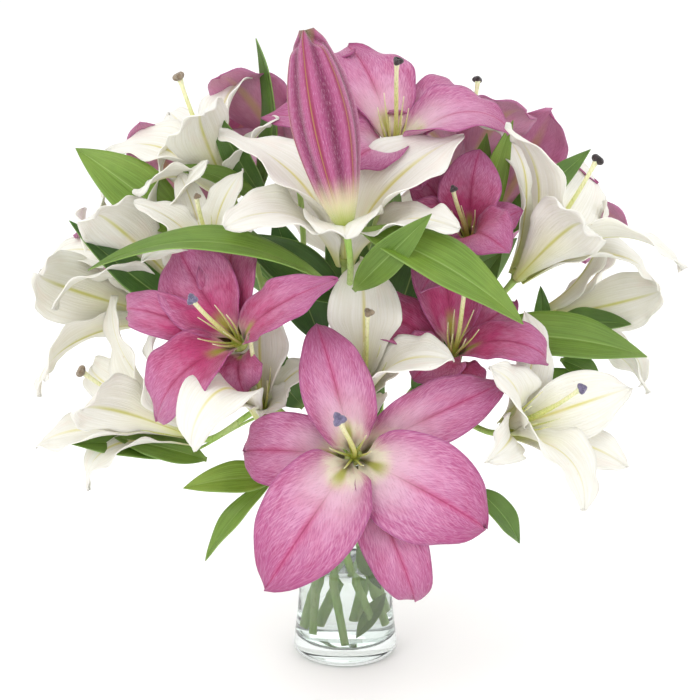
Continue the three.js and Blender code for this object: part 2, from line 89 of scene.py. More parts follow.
# ---- The bundle ----
# The stems stand on a ring in the vase, pass a tighter one at its waist and open out at its mouth, while
# the bundle turns by STEM_TURN. Each leaves a GAP to what it stands on.
FOOT_RING = 23
NECK_RING = 0.46 * WAIST_RADIUS
MOUTH_RING = 0.56 * RIM_RADIUS
STEM_TURN = 75
GAP = 0.35
STEM_RADIUS = 2.7
STEM_STEPS = 60
STEM_NODES = (0.13, 0.31, 0.5, 0.69, 0.86)
PEDICEL_RADIUS = 2.15
PEDICEL_STEPS = 26
STALK_RADIUS = 1
LEAF_THICKNESS = 0.7

# ---- A lily ----
# WHORL_ values set the outer tepals off from the inner ones: out, wider open and down the axis. CLAW_SHARE
# and the _WRAP values are how far round the axis a tepal reaches at its base and above it, as shares of the
# distance from the axis.
TEPAL_LENGTH = 124
THROAT_RADIUS = 3.4
WHORL_STEP = 3
WHORL_SPREAD = 10
WHORL_DROP = 4
INNER_WRAP = 1.25
OUTER_WRAP = 0.85
CUPPING = 1.3
CLAW_SHARE = 0.5
FURROW_DEPTH = 1.5
EVEN = (1,) * 6
NONE = (0,) * 6
RECEPTACLE_DEPTH = 8
RECEPTACLE_TOP = 2
STYLE_LENGTH = 88
STYLE_LEAN = 9
STYLE_STEPS = 24
FILAMENT_LENGTH = 50
FILAMENT_RADIUS = 1.05
FILAMENT_END = 0.28
FILAMENT_STEPS = 10
STIGMA_RADIUS = 5

# Angles of the midrib from the bloom's axis at a tepal's base, middle and end, the widths of the inner
# and outer tepals, the depth of the ruffle at their edges, the two powers that shape their outline, and
# their thickness.
FORMS = {
    "pink": {"throat": 24, "middle": 62, "tip": 106, "inner": 62, "outer": 45, "ruffle": 2.6,
             "swell": 1.04, "blunt": 0.72, "thickness": 0.7},
    "white": {"throat": 16, "middle": 42, "tip": 98, "inner": 52, "outer": 37, "ruffle": 2.9,
              "swell": 0.98, "blunt": 0.78, "thickness": 0.8},
}


@dataclass(frozen=True)
class Lily:
    """One bloom. at is its receptacle and heading its azimuth, from the front towards +X, and rise. tone is
    the depth of its colour, and stigma None if the style is hidden. Six values go one to each tepal:
    turned moves it sideways, twisted turns it about its midrib and curled rolls its end back, in degrees,
    raised lifts it along the axis, and reach and broad are shares of the usual length and width. lean is
    how far the style's end leans to the right and up."""

    name: str
    form: str
    at: tuple
    heading: tuple
    roll: float
    size: float
    opening: float
    tone: float
    stigma: str = None
    lean: tuple = None
    turned: tuple = None
    twisted: tuple = None
    curled: tuple = NONE
    raised: tuple = NONE
    reach: tuple = EVEN
    broad: tuple = EVEN


@dataclass(frozen=True)
class Stem:
    """foot is the heading of the cut end on its ring, and stand how far it stays off the vase's floor."""

    name: str
    foot: float
    stand: float
    fork: tuple
    carries: tuple


@dataclass(frozen=True)
class Leaf:
    """rise bows the midrib towards the side that the leaf shows, which faces the heading in facing. stalk is
    where the thin stalk of a leaf that stands away from the bundle starts."""

    name: str
    start: tuple
    end: tuple
    rise: float
    facing: tuple
    width: float
    tone: float
    stalk: tuple = None


BLOOMS = [
    Lily("pink_lily_front", form="pink", at=(6, -92, 178), heading=(2, 22), roll=107, size=1, opening=6,
        tone=0.12, stigma="lilac", lean=(-12, 15), turned=(-1, 10, 9, 5, -18, -22),
        twisted=(4, -8, 12, 6, 12, -8), curled=(0, 70, 0, 60, 30, 0), raised=(0, 0, 1.5, 0, -0.5, 0),
        reach=(0.8, 0.76, 0.98, 1.05, 0.96, 0.95), broad=(0.78, 1.15, 1.1, 0.95, 1.15, 0.95)),
    Lily("white_lily_middle", form="white", at=(12, -62, 212), heading=(6, 56), roll=90, size=0.8,
        opening=-8, tone=0.3, stigma="fawn", reach=(1, 0.45, 0.42, 0.38, 1, 0.5),
        broad=(1.3, 1, 1, 1, 1.2, 1)),
    Lily("white_lily_low_middle", form="white", at=(-56, -66, 202), heading=(-8, 54), roll=90, size=0.74,
        opening=-6, tone=0.4, stigma="fawn", turned=(0, 0, 0, -24, 0, 0), curled=(0, 0, 0, 84, 0, 0),
        reach=(0.85, 0.5, 0.6, 1.35, 0.36, 0.6), broad=(1.25, 1, 1, 1.7, 1, 1)),
    Lily("pink_lily_left", form="pink", at=(-70, -76, 252), heading=(-22, 27), roll=30, size=0.84,
        opening=0, tone=0.92, stigma="lilac", turned=(-6, 6, -22, -38, -30, -40),
        curled=(0, 60, 10, 60, 60, 50), reach=(1.02, 0.8, 0.8, 1, 0.9, 0.4),
        broad=(0.66, 1.1, 1.1, 0.8, 1, 1)),
    Lily("pink_lily_right", form="pink", at=(74, -50, 238), heading=(5, 42), roll=100, size=0.8, opening=0,
        tone=0.95, stigma="dark", curled=(0, 0, 40, 0, 70, 0), reach=(1, 0.85, 0.48, 0.36, 0.86, 0.6),
        broad=(1, 1.1, 1, 1, 0.62, 1)),
    Lily("white_lily_low_right", form="white", at=(110, -62, 188), heading=(42, 27), roll=15, size=0.84,
        opening=0, tone=0.3, stigma="lilac", turned=(-14, 6, 0, 0, 0, 4), curled=(0, 0, 30, 0, 0, 0),
        reach=(0.92, 0.85, 0.75, 0.9, 0.95, 0.9), broad=(1.1, 1.1, 1, 1, 1.1, 1.2)),
    Lily("pink_lily_shaded", form="pink", at=(86, -22, 312), heading=(-20, 40), roll=80, size=0.62,
        opening=-18, tone=1, stigma="dark", reach=(0.85, 0.9, 0.8, 1, 1, 0.6),
        broad=(1.2, 1.2, 1.2, 1.2, 1.2, 1)),
    Lily("pink_lily_top", form="pink", at=(34, 4, 370), heading=(2, 54), roll=112, size=0.82, opening=2,
        tone=0.1, stigma="dark", turned=(0, 0, 0, 0, 0, -10), curled=(0, 0, 0, 0, 40, 40),
        reach=(0.92, 1, 0.6, 0.45, 1, 0.85), broad=(1.2, 1.1, 1, 1, 1.1, 1.1)),
    Lily("pink_lily_crown", form="pink", at=(86, 60, 344), heading=(150, 66), roll=20, size=0.84, opening=6,
        tone=0.3, stigma="dark"),
    Lily("pink_lily_back_left", form="pink", at=(-40, 62, 358), heading=(-150, 50), roll=40, size=0.88,
        opening=0, tone=0.35, reach=(0.9, 1, 1, 1, 1, 0.8)),
    Lily("pink_lily_back_right", form="pink", at=(112, 84, 312), heading=(140, 38), roll=10, size=0.88,
        opening=0, tone=0.25),
    Lily("pink_lily_far_left", form="pink", at=(-104, 76, 308), heading=(-136, 36), roll=50, size=0.88,
        opening=0, tone=0.5),
    Lily("white_lily_top", form="white", at=(0, -44, 304), heading=(0, 70), roll=30, size=1.08, opening=2,
        tone=0.2, turned=(-8, 0, 8, 4, 0, -4), reach=(0.92, 0.8, 0.95, 0.86, 0.62, 0.82),
        broad=(1.25, 1, 1.2, 1.4, 1, 1.3)),
    Lily("white_lily_right", form="white", at=(122, -16, 288), heading=(84, 52), roll=0, size=1.04,
        opening=0, tone=0.1, stigma="dark", turned=(0, 0, 0, 0, 10, -16), curled=(0, 0, 0, 0, 0, 60),
        reach=(1, 1, 0.95, 1, 0.95, 1), broad=(1, 1, 1, 1.35, 1.1, 1)),
    Lily("white_lily_far_right", form="white", at=(144, 28, 246), heading=(96, 10), roll=40, size=0.86,
        opening=-4, tone=0.2),
    Lily("white_lily_high_left", form="white", at=(-82, 14, 340), heading=(-76, 62), roll=0, size=0.98,
        opening=0, tone=0.4, stigma="fawn", reach=(0.9, 0.62, 0.82, 1, 0.84, 0.7),
        broad=(1, 1, 1.2, 1.2, 1.1, 1)),
    Lily("white_lily_left", form="white", at=(-114, 2, 272), heading=(-88, 50), roll=0, size=1, opening=-4,
        tone=0.5, stigma="fawn", reach=(1, 0.95, 1, 1, 0.95, 0.85), broad=(1, 1.1, 1.2, 1.3, 1.1, 1)),
    Lily("white_lily_far_left", form="white", at=(-136, 16, 252), heading=(-92, 14), roll=20, size=0.96,
        opening=-2, tone=0.3, stigma="fawn", reach=(1, 0.9, 1, 1, 0.95, 1), broad=(1.1, 1, 1, 1.1, 1.1, 1)),
    Lily("white_lily_low_left", form="white", at=(-108, -34, 176), heading=(-78, 28), roll=0, size=0.98,
        opening=-10, tone=0.4, stigma="fawn", turned=(0, 0, 0, 0, 0, -34), curled=(0, 0, 0, 0, 0, 30),
        reach=(1, 0.84, 1, 1, 1, 0.8), broad=(1, 1.1, 1.1, 1.1, 1.1, 1.4)),
    Lily("white_lily_small", form="white", at=(-92, -34, 302), heading=(-14, 56), roll=60, size=0.56,
        opening=-8, tone=0.4, stigma="fawn"),
    Lily("white_lily_back", form="white", at=(10, 96, 262), heading=(178, 34), roll=30, size=0.92,
        opening=6, tone=0.3),
]

STEMS = [
    Stem("stem_front", foot=0, stand=1, fork=(-50, -30, 196),
        carries=("pink_lily_left", "white_lily_low_left", "white_lily_far_left")),
    Stem("stem_left", foot=-62, stand=5, fork=(-42, 18, 214),
        carries=("white_lily_left", "white_lily_high_left", "white_lily_small")),
    Stem("stem_back_left", foot=-106, stand=3, fork=(-22, 48, 220),
        carries=("pink_lily_back_left", "pink_lily_far_left")),
    Stem("stem_middle", foot=-148, stand=2, fork=(4, 4, 226),
        carries=("white_lily_top", "pink_lily_top", "pink_bud")),
    Stem("stem_back", foot=170, stand=6, fork=(26, 50, 208),
        carries=("white_lily_back", "pink_lily_back_right", "pink_lily_crown")),
    Stem("stem_back_right", foot=130, stand=13, fork=(58, 18, 206),
        carries=("white_lily_right", "white_lily_far_right")),
    Stem("stem_right", foot=92, stand=8, fork=(46, -18, 190),
        carries=("white_lily_low_right", "pink_lily_right", "pink_lily_shaded")),
    Stem("stem_front_right", foot=48, stand=18, fork=(4, -34, 186),
        carries=("pink_lily_front", "white_lily_middle", "white_lily_low_middle")),
]

BUD_AT = Vector((1, -95, 330))
BUD_AXIS = Vector((-0.2, 0, 1)).normalized()
BUD_LENGTH = 132
BUD_RADIUS = 22
BUD_PARTING = 9
BUD_TURN = 104
# Shares of the bud's radius, by the share of its length.
BUD_OUTLINE = [(0, 0.14), (0.07, 0.36), (0.24, 0.7), (0.5, 1), (0.72, 0.9), (0.92, 0.5), (1, 0.14)]

LEAVES = [
    Leaf("leaf_high_left", start=(-112, 2, 314), end=(-189, 5, 374), rise=8, facing=(-20, 40), width=40,
        tone=0.75),
    Leaf("leaf_crown_left", start=(-66, 26, 330), end=(-63, 30, 449), rise=-14, facing=(-60, 10), width=26,
        tone=0.25),
    Leaf("leaf_arching", start=(-12, -82, 295), end=(-167, -90, 304), rise=28, facing=(0, 62), width=26,
        tone=0.55),
    Leaf("leaf_left", start=(-98, -24, 252), end=(-189, -30, 328), rise=-6, facing=(20, 40), width=26,
        tone=0.1),
    Leaf("leaf_stalk", start=(6, -86, 290), end=(55, -112, 344), rise=6, facing=(10, 20), width=22, tone=0.5),
    Leaf("leaf_middle", start=(10, -88, 330), end=(115, -108, 272), rise=12, facing=(10, 48), width=38,
        tone=0.7),
    Leaf("leaf_right", start=(92, -30, 246), end=(213, -22, 230), rise=12, facing=(0, 45), width=38,
        tone=0.6),
    Leaf("leaf_low_left", start=(-112, -24, 160), end=(-195, -40, 172), rise=6, facing=(0, 50), width=28,
        tone=0.45, stalk=(-50, -28, 192)),
    Leaf("leaf_neck", start=(-48, -46, 148), end=(-112, -62, 146), rise=8, facing=(0, 40), width=24,
        tone=0.95, stalk=(-14, -22, 160)),
    Leaf("leaf_drooping", start=(-52, -42, 144), end=(-99, -50, 88), rise=8, facing=(-40, 20), width=16,
        tone=0.8, stalk=(-14, -22, 160)),
    Leaf("leaf_low_right", start=(92, -44, 140), end=(124, -44, 99), rise=6, facing=(30, 30), width=20,
        tone=0.3, stalk=(34, -14, 170)),
    Leaf("leaf_upper_right", start=(90, -22, 298), end=(117, 0, 394), rise=-6, facing=(30, 20), width=22,
        tone=0.85),
    Leaf("leaf_behind_right", start=(108, 20, 306), end=(178, 40, 370), rise=8, facing=(0, 30), width=22,
        tone=0.3),
]

# Smaller leaves that fill the middle of the bunch, behind and between the blooms.
FILLING_LEAVES = [
    Leaf("filling_inner_left", start=(-56, 8, 336), end=(-93, -4, 405), rise=6, facing=(-30, 30), width=20,
        tone=0.2),
    Leaf("filling_small_left", start=(-58, -6, 336), end=(-121, -12, 362), rise=10, facing=(0, 50),
        width=17, tone=0.5),
    Leaf("filling_far_right", start=(146, 8, 242), end=(206, 4, 248), rise=6, facing=(0, 50), width=24,
        tone=0.25),
    Leaf("filling_low_left", start=(-98, -34, 158), end=(-162, -40, 176), rise=4, facing=(0, 40), width=22,
        tone=0.5),
    Leaf("filling_middle", start=(0, -24, 270), end=(-75, -14, 316), rise=6, facing=(0, 30), width=34,
        tone=0.1),
    Leaf("filling_heart_left", start=(-16, -6, 236), end=(-50, -8, 330), rise=6, facing=(-10, 20), width=34,
        tone=0.05),
    Leaf("filling_heart", start=(10, 8, 236), end=(-8, -2, 344), rise=6, facing=(10, 20), width=36,
        tone=0.15),
    Leaf("filling_heart_right", start=(30, 6, 232), end=(60, -6, 330), rise=6, facing=(10, 20), width=34,
        tone=0.1),
    Leaf("filling_right", start=(60, 10, 232), end=(112, 6, 300), rise=6, facing=(10, 20), width=32,
        tone=0.3),
    Leaf("filling_upper_right", start=(78, 14, 300), end=(100, 12, 384), rise=6, facing=(20, 20), width=26,
        tone=0.6),
    Leaf("filling_low_middle", start=(-30, -10, 190), end=(-78, -24, 250), rise=6, facing=(0, 20), width=30,
        tone=0.1),
    Leaf("filling_low_right", start=(52, -6, 190), end=(84, -26, 262), rise=6, facing=(0, 20), width=30,
        tone=0.15),
    Leaf("filling_under", start=(20, -10, 180), end=(0, -24, 250), rise=6, facing=(0, 20), width=30,
        tone=0.1),
    Leaf("filling_spur", start=(141, 5, 240), end=(140, 5, 276), rise=3, facing=(10, 20), width=12, tone=0.2),
    Leaf("filling_end_right", start=(155, 0, 223), end=(186, 0, 206), rise=4, facing=(0, 40), width=18,
        tone=0.35),
    Leaf("filling_side_right", start=(132, -4, 196), end=(172, -4, 214), rise=4, facing=(0, 40), width=22,
        tone=0.4),
    Leaf("sunken_leaf", start=(12, -12, 92), end=(25, -18, 54), rise=3, facing=(-20, 20), width=17, tone=0.5),
    Leaf("sunken_leaf_low", start=(27, -10, 48), end=(7, -19, 17), rise=2, facing=(-10, 20), width=13,
        tone=0.8),
    Leaf("filling_back_left", start=(-40, 60, 250), end=(-120, 70, 330), rise=8, facing=(-160, 30),
        width=34, tone=0.2),
    Leaf("filling_back", start=(20, 80, 240), end=(40, 104, 340), rise=8, facing=(180, 20), width=36,
        tone=0.4),
    Leaf("filling_back_right", start=(70, 60, 240), end=(130, 74, 300), rise=8, facing=(150, 30), width=34,
        tone=0.3),
]


# ---- Measuring ----
def heading(azimuth, rise):
    a, e = math.radians(azimuth), math.radians(rise)
    return Vector((math.sin(a) * math.cos(e), -math.cos(a) * math.cos(e), math.sin(e)))


def standing(at, axis):
    """The matrix that stands a flower's own frame, +Z along its axis and +X to its right, at a point."""
    right = UP.cross(axis).normalized()
    over = axis.cross(right)
    turn = Matrix((right, over, axis)).transposed().to_4x4()
    return Matrix.Translation(Vector(at)) @ turn


def sway(a, b):
    """A steady number between -1 and 1 that makes no two tepals or leaves quite alike."""
    return math.sin(a * 7.1 + b * 3.7 + 1.3)


def blend(a, b, share):
    return a + (b - a) * share


def smooth(low, high, value):
    t = min(max((value - low) / (high - low), 0), 1)
    return t * t * (3 - 2 * t)


def along_table(table, share):
    """The value at a share of the way along a table of (share, value) rows, on a smooth curve."""
    for i, ((s0, v0), (s1, v1)) in enumerate(zip(table, table[1:])):
        if share <= s1 or i == len(table) - 2:
            before = table[i - 1] if i else (2 * s0 - s1, v0)
            after = table[i + 2] if i + 2 < len(table) else (2 * s1 - s0, v1)
            t = (share - s0) / (s1 - s0)
            rise0 = (v1 - before[1]) / (s1 - before[0]) * (s1 - s0)
            rise1 = (after[1] - v0) / (after[0] - s0) * (s1 - s0)
            return (
                (2 * t**3 - 3 * t**2 + 1) * v0
                + (t**3 - 2 * t**2 + t) * rise0
                + (3 * t**2 - 2 * t**3) * v1
                + (t**3 - t**2) * rise1
            )


def centripetal_point(points, share):
    """A point on the centripetal Catmull-Rom curve through points."""
    place = share * (len(points) - 1)
    i = min(int(place), len(points) - 2)
    t = place - i
    p1, p2 = points[i], points[i + 1]
    p0 = points[i - 1] if i else 2 * points[0] - points[1]
    p3 = points[i + 2] if i + 2 < len(points) else 2 * points[-1] - points[-2]
    d0, d1, d2 = ((b - a).length ** 0.5 for a, b in ((p0, p1), (p1, p2), (p2, p3)))
    m1 = ((p1 - p0) / d0 - (p2 - p0) / (d0 + d1) + (p2 - p1) / d1) * d1
    m2 = ((p2 - p1) / d1 - (p3 - p1) / (d1 + d2) + (p3 - p2) / d2) * d1
    return p1 + m1 * t + (3 * (p2 - p1) - 2 * m1 - m2) * t**2 + (2 * (p1 - p2) + m1 + m2) * t**3


def bezier_point(a, b, c, d, t):
    u = 1 - t
    return a * u**3 + b * 3 * u * u * t + c * 3 * u * t * t + d * t**3


def ring_point(radius, azimuth, z):
    a = math.radians(azimuth)
    return Vector((radius * math.sin(a), -radius * math.cos(a), z))


def ball_place(co):
    """The place of a point of a ball of radius 1: the share of a turn around it, and from its foot up."""
    return math.atan2(co.y, co.x) / (2 * math.pi) + 0.5, math.acos(-max(min(co.z, 1), -1)) / math.pi


# ---- Meshes ----
class Piece:
    """A mesh under construction, in millimetres, with the layers that its materials read."""

    def __init__(self):
        self.mesh = bmesh.new()
        self.map = self.mesh.loops.layers.uv.new(PETAL_MAP)
        self.tone = self.mesh.verts.layers.float.new("tone")

    def grid(self, columns, rows, place, material=0, tone=0.5, flip=False):
        """Bends a flat grid to place(across, along) at each point. across is -1 to 1, along 0 to 1."""
        made = bmesh.ops.create_grid(self.mesh, x_segments=columns, y_segments=rows, size=1)
        verts = made["verts"]
        faces = {f for v in verts for f in v.link_faces}
        for face in faces:
            face.material_index = material
            face.smooth = True
            for loop in face.loops:
                loop[self.map].uv = (loop.vert.co.x / 2 + 0.5, loop.vert.co.y / 2 + 0.5)
        for v in verts:
            v[self.tone] = tone
            v.co = place(v.co.x, v.co.y / 2 + 0.5)
        if flip:
            bmesh.ops.reverse_faces(self.mesh, faces=list(faces))

    def rod(self, path, radii, sides=12, material=0, tone=0.5):
        """Draws a round rod by extruding its end face from each point of a path to the next."""
        if isinstance(radii, (int, float)):
            radii = [radii] * len(path)
        last = len(path) - 1
        steps = [(path[min(i + 1, last)] - path[max(i - 1, 0)]).normalized() for i in range(last + 1)]
        side = steps[0].orthogonal().normalized()
        made = bmesh.ops.create_circle(self.mesh, cap_ends=True, radius=1, segments=sides)
        first = made["verts"][0].link_faces[0]
        face = first
        total = sum((b - a).length for a, b in zip(path, path[1:]))
        gone = 0
        for i, (point, step, radius) in enumerate(zip(path, steps, radii)):
            if i:
                out = bmesh.ops.extrude_discrete_faces(self.mesh, faces=[face])
                face = out["faces"][0]
                gone += (point - path[i - 1]).length
            side = (side - step * side.dot(step)).normalized()
            over = step.cross(side)
            for j, v in enumerate(face.verts):
                turn = 2 * math.pi * j / sides
                v.co = point + (side * math.cos(turn) + over * math.sin(turn)) * radius
                v[self.tone] = tone
            for around in {f for v in face.verts for f in v.link_faces}:
                around.material_index = material
                around.smooth = True
                for loop in around.loops:
                    if loop.vert in face.verts[:]:
                        j = face.verts[:].index(loop.vert)
                        loop[self.map].uv = (j / sides, gone / total)
        return face

    def ball(self, place, material=0, tone=0.5, u=24, v=14):
        """Shapes a round ball: place takes each point of a ball of radius 1."""
        made = bmesh.ops.create_uvsphere(self.mesh, u_segments=u, v_segments=v, radius=1)
        for f in {f for v in made["verts"] for f in v.link_faces}:
            f.material_index = material
            f.smooth = True
            for loop in f.loops:
                loop[self.map].uv = ball_place(loop.vert.co)
        for v in made["verts"]:
            v[self.tone] = tone
            v.co = place(v.co.copy())

    def turned(self, outline, steps, material=0):
        """Spins an outline of (radius, height) points, both ends of it on the axis, into a closed shape."""
        verts = [self.mesh.verts.new((r, 0, z)) for r, z in outline]
        edges = [self.mesh.edges.new(pair) for pair in zip(verts, verts[1:])]
        bmesh.ops.spin(
            self.mesh, geom=verts + edges, cent=(0, 0, 0), axis=(0, 0, 1),
            angle=2 * math.pi, steps=steps, use_merge=True,
        )
        bmesh.ops.remove_doubles(self.mesh, verts=self.mesh.verts[:], dist=1e-4)
        bmesh.ops.recalc_face_normals(self.mesh, faces=self.mesh.faces[:])
        for f in self.mesh.faces:
            f.material_index = material
            f.smooth = True

    def finished(self, name, materials, stands_for=(), matrix=None):
        """The object of this piece, in metres, riding on the frame."""
        if matrix is not None:
            bmesh.ops.transform(self.mesh, matrix=matrix, verts=self.mesh.verts[:])
        bmesh.ops.scale(self.mesh, vec=(MM, MM, MM), verts=self.mesh.verts[:])
        data = bpy.data.meshes.new(name)
        self.mesh.to_mesh(data)
        self.mesh.free()
        for m in materials:
            data.materials.append(m)
        piece = bpy.data.objects.new(name, data)
        bpy.context.scene.collection.objects.link(piece)
        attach(piece, "root")
        if stands_for:
            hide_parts(*stands_for)
        return piece


def give_thickness(piece, thickness):
    """A sheet gets its thickness, half to each side, and its back the second of its materials."""
    wall = piece.modifiers.new("Thickness", "SOLIDIFY")
    wall.thickness = thickness * MM
    wall.offset = 0
    wall.material_offset = 1
    wall.material_offset_rim = 0


# ---- Materials ----
def tint(code):
    """A colour written as six hexadecimal figures, in the light that a shader works in."""
    parts = [int(code[i : i + 2], 16) / 255 for i in (0, 2, 4)]
    return tuple(p / 12.92 if p <= 0.04045 else ((p + 0.055) / 1.055) ** 2.4 for p in parts)


class Finish:
    """A material and the nodes that give it its pattern."""

    def __init__(self, name, **constants):
        self.material = bpy.data.materials.new(name)
        self.material.use_nodes = True
        self.tree = self.material.node_tree
        self.tree.nodes.clear()
        self.shader = self.tree.nodes.new("ShaderNodeBsdfPrincipled")
        out = self.tree.nodes.new("ShaderNodeOutputMaterial")
        self.tree.links.new(self.shader.outputs[0], out.inputs["Surface"])
        for socket, value in constants.items():
            self.shader.inputs[socket.replace("_", " ")].default_value = value

    def put(self, socket, value):
        if isinstance(value, bpy.types.NodeSocket):
            self.tree.links.new(value, socket)
        elif isinstance(value, tuple) and len(value) == 3 and socket.type == "RGBA":
            socket.default_value = (*value, 1)
        else:
            socket.default_value = value

    def node(self, kind, output=0, settings=None, **inputs):
        made = self.tree.nodes.new(kind)
        for name, value in (settings or {}).items():
            setattr(made, name, value)
        for name, value in inputs.items():
            key = int(name[1:]) if name[0] == "i" and name[1:].isdigit() else name.replace("_", " ")
            self.put(made.inputs[key], value)
        return made.outputs[output]

    def calc(self, operation, a, b=0.0, c=0.0):
        return self.node("ShaderNodeMath", settings={"operation": operation}, i0=a, i1=b, i2=c)

    def times(self, a, b):
        return self.calc("MULTIPLY", a, b)

    def across_along(self):
        """The place on a petal or leaf: 0 at the midrib to 1 at the edge, -1 to 1 across, 0 to 1 along."""
        place = self.node("ShaderNodeUVMap", settings={"uv_map": PETAL_MAP})
        parts = self.tree.nodes.new("ShaderNodeSeparateXYZ")
        self.tree.links.new(place, parts.inputs[0])
        signed = self.calc("MULTIPLY_ADD", parts.outputs[0], 2.0, -1.0)
        return self.calc("ABSOLUTE", signed), signed, parts.outputs[1]

    def spot(self, x, y, z=0.0):
        return self.node("ShaderNodeCombineXYZ", X=x, Y=y, Z=z)

    def range(self, value, low, high, to_low=0.0, to_high=1.0):
        return self.node(
            "ShaderNodeMapRange", settings={"interpolation_type": "SMOOTHSTEP"},
            Value=value, From_Min=low, From_Max=high, To_Min=to_low, To_Max=to_high,
        )

    def mixed(self, share, a, b):
        settings = {"data_type": "RGBA", "blend_type": "MIX", "clamp_factor": True}
        return self.node("ShaderNodeMix", output=2, settings=settings, i0=share, i6=a, i7=b)

    def ramp(self, value, *stops):
        made = self.tree.nodes.new("ShaderNodeValToRGB")
        made.color_ramp.interpolation = "EASE"
        stones = made.color_ramp.elements
        while len(stones) < len(stops):
            stones.new(0.5)
        for stone, (place, colour) in zip(stones, stops):
            stone.position = place
            stone.color = (*colour, 1)
        self.tree.links.new(value, made.inputs[0])
        return made.outputs[0]

    def noise(self, where, scale, detail=3.0, roughness=0.55):
        return self.node(
            "ShaderNodeTexNoise", Vector=where, Scale=scale, Detail=detail, Roughness=roughness
        )

    def body(self):
        return self.node("ShaderNodeTexCoord", output=3)

    def tone(self):
        return self.node("ShaderNodeAttribute", output=2, settings={"attribute_name": "tone"})

    def bumped(self, height, distance, strength=1.0, under=None):
        inputs = {"Height": height, "Distance": distance, "Strength": strength}
        if under is not None:
            inputs["Normal"] = under
        return self.node("ShaderNodeBump", **inputs)

    def colour(self, value):
        self.put(self.shader.inputs["Base Color"], value)

    def rough(self, value):
        self.put(self.shader.inputs["Roughness"], value)

    def normal(self, value):
        self.put(self.shader.inputs["Normal"], value)


def veins_of(finish, edge, signed, along, fine):
    """Streaks that leave the midrib and fan towards the edge, 0 to 1."""
    bent = finish.calc("MULTIPLY_ADD", edge, -0.175, along)
    fan = finish.spot(finish.times(signed, fine), finish.times(bent, 3.0), 0.0)
    return finish.noise(fan, 1.0, detail=4.0, roughness=0.6)


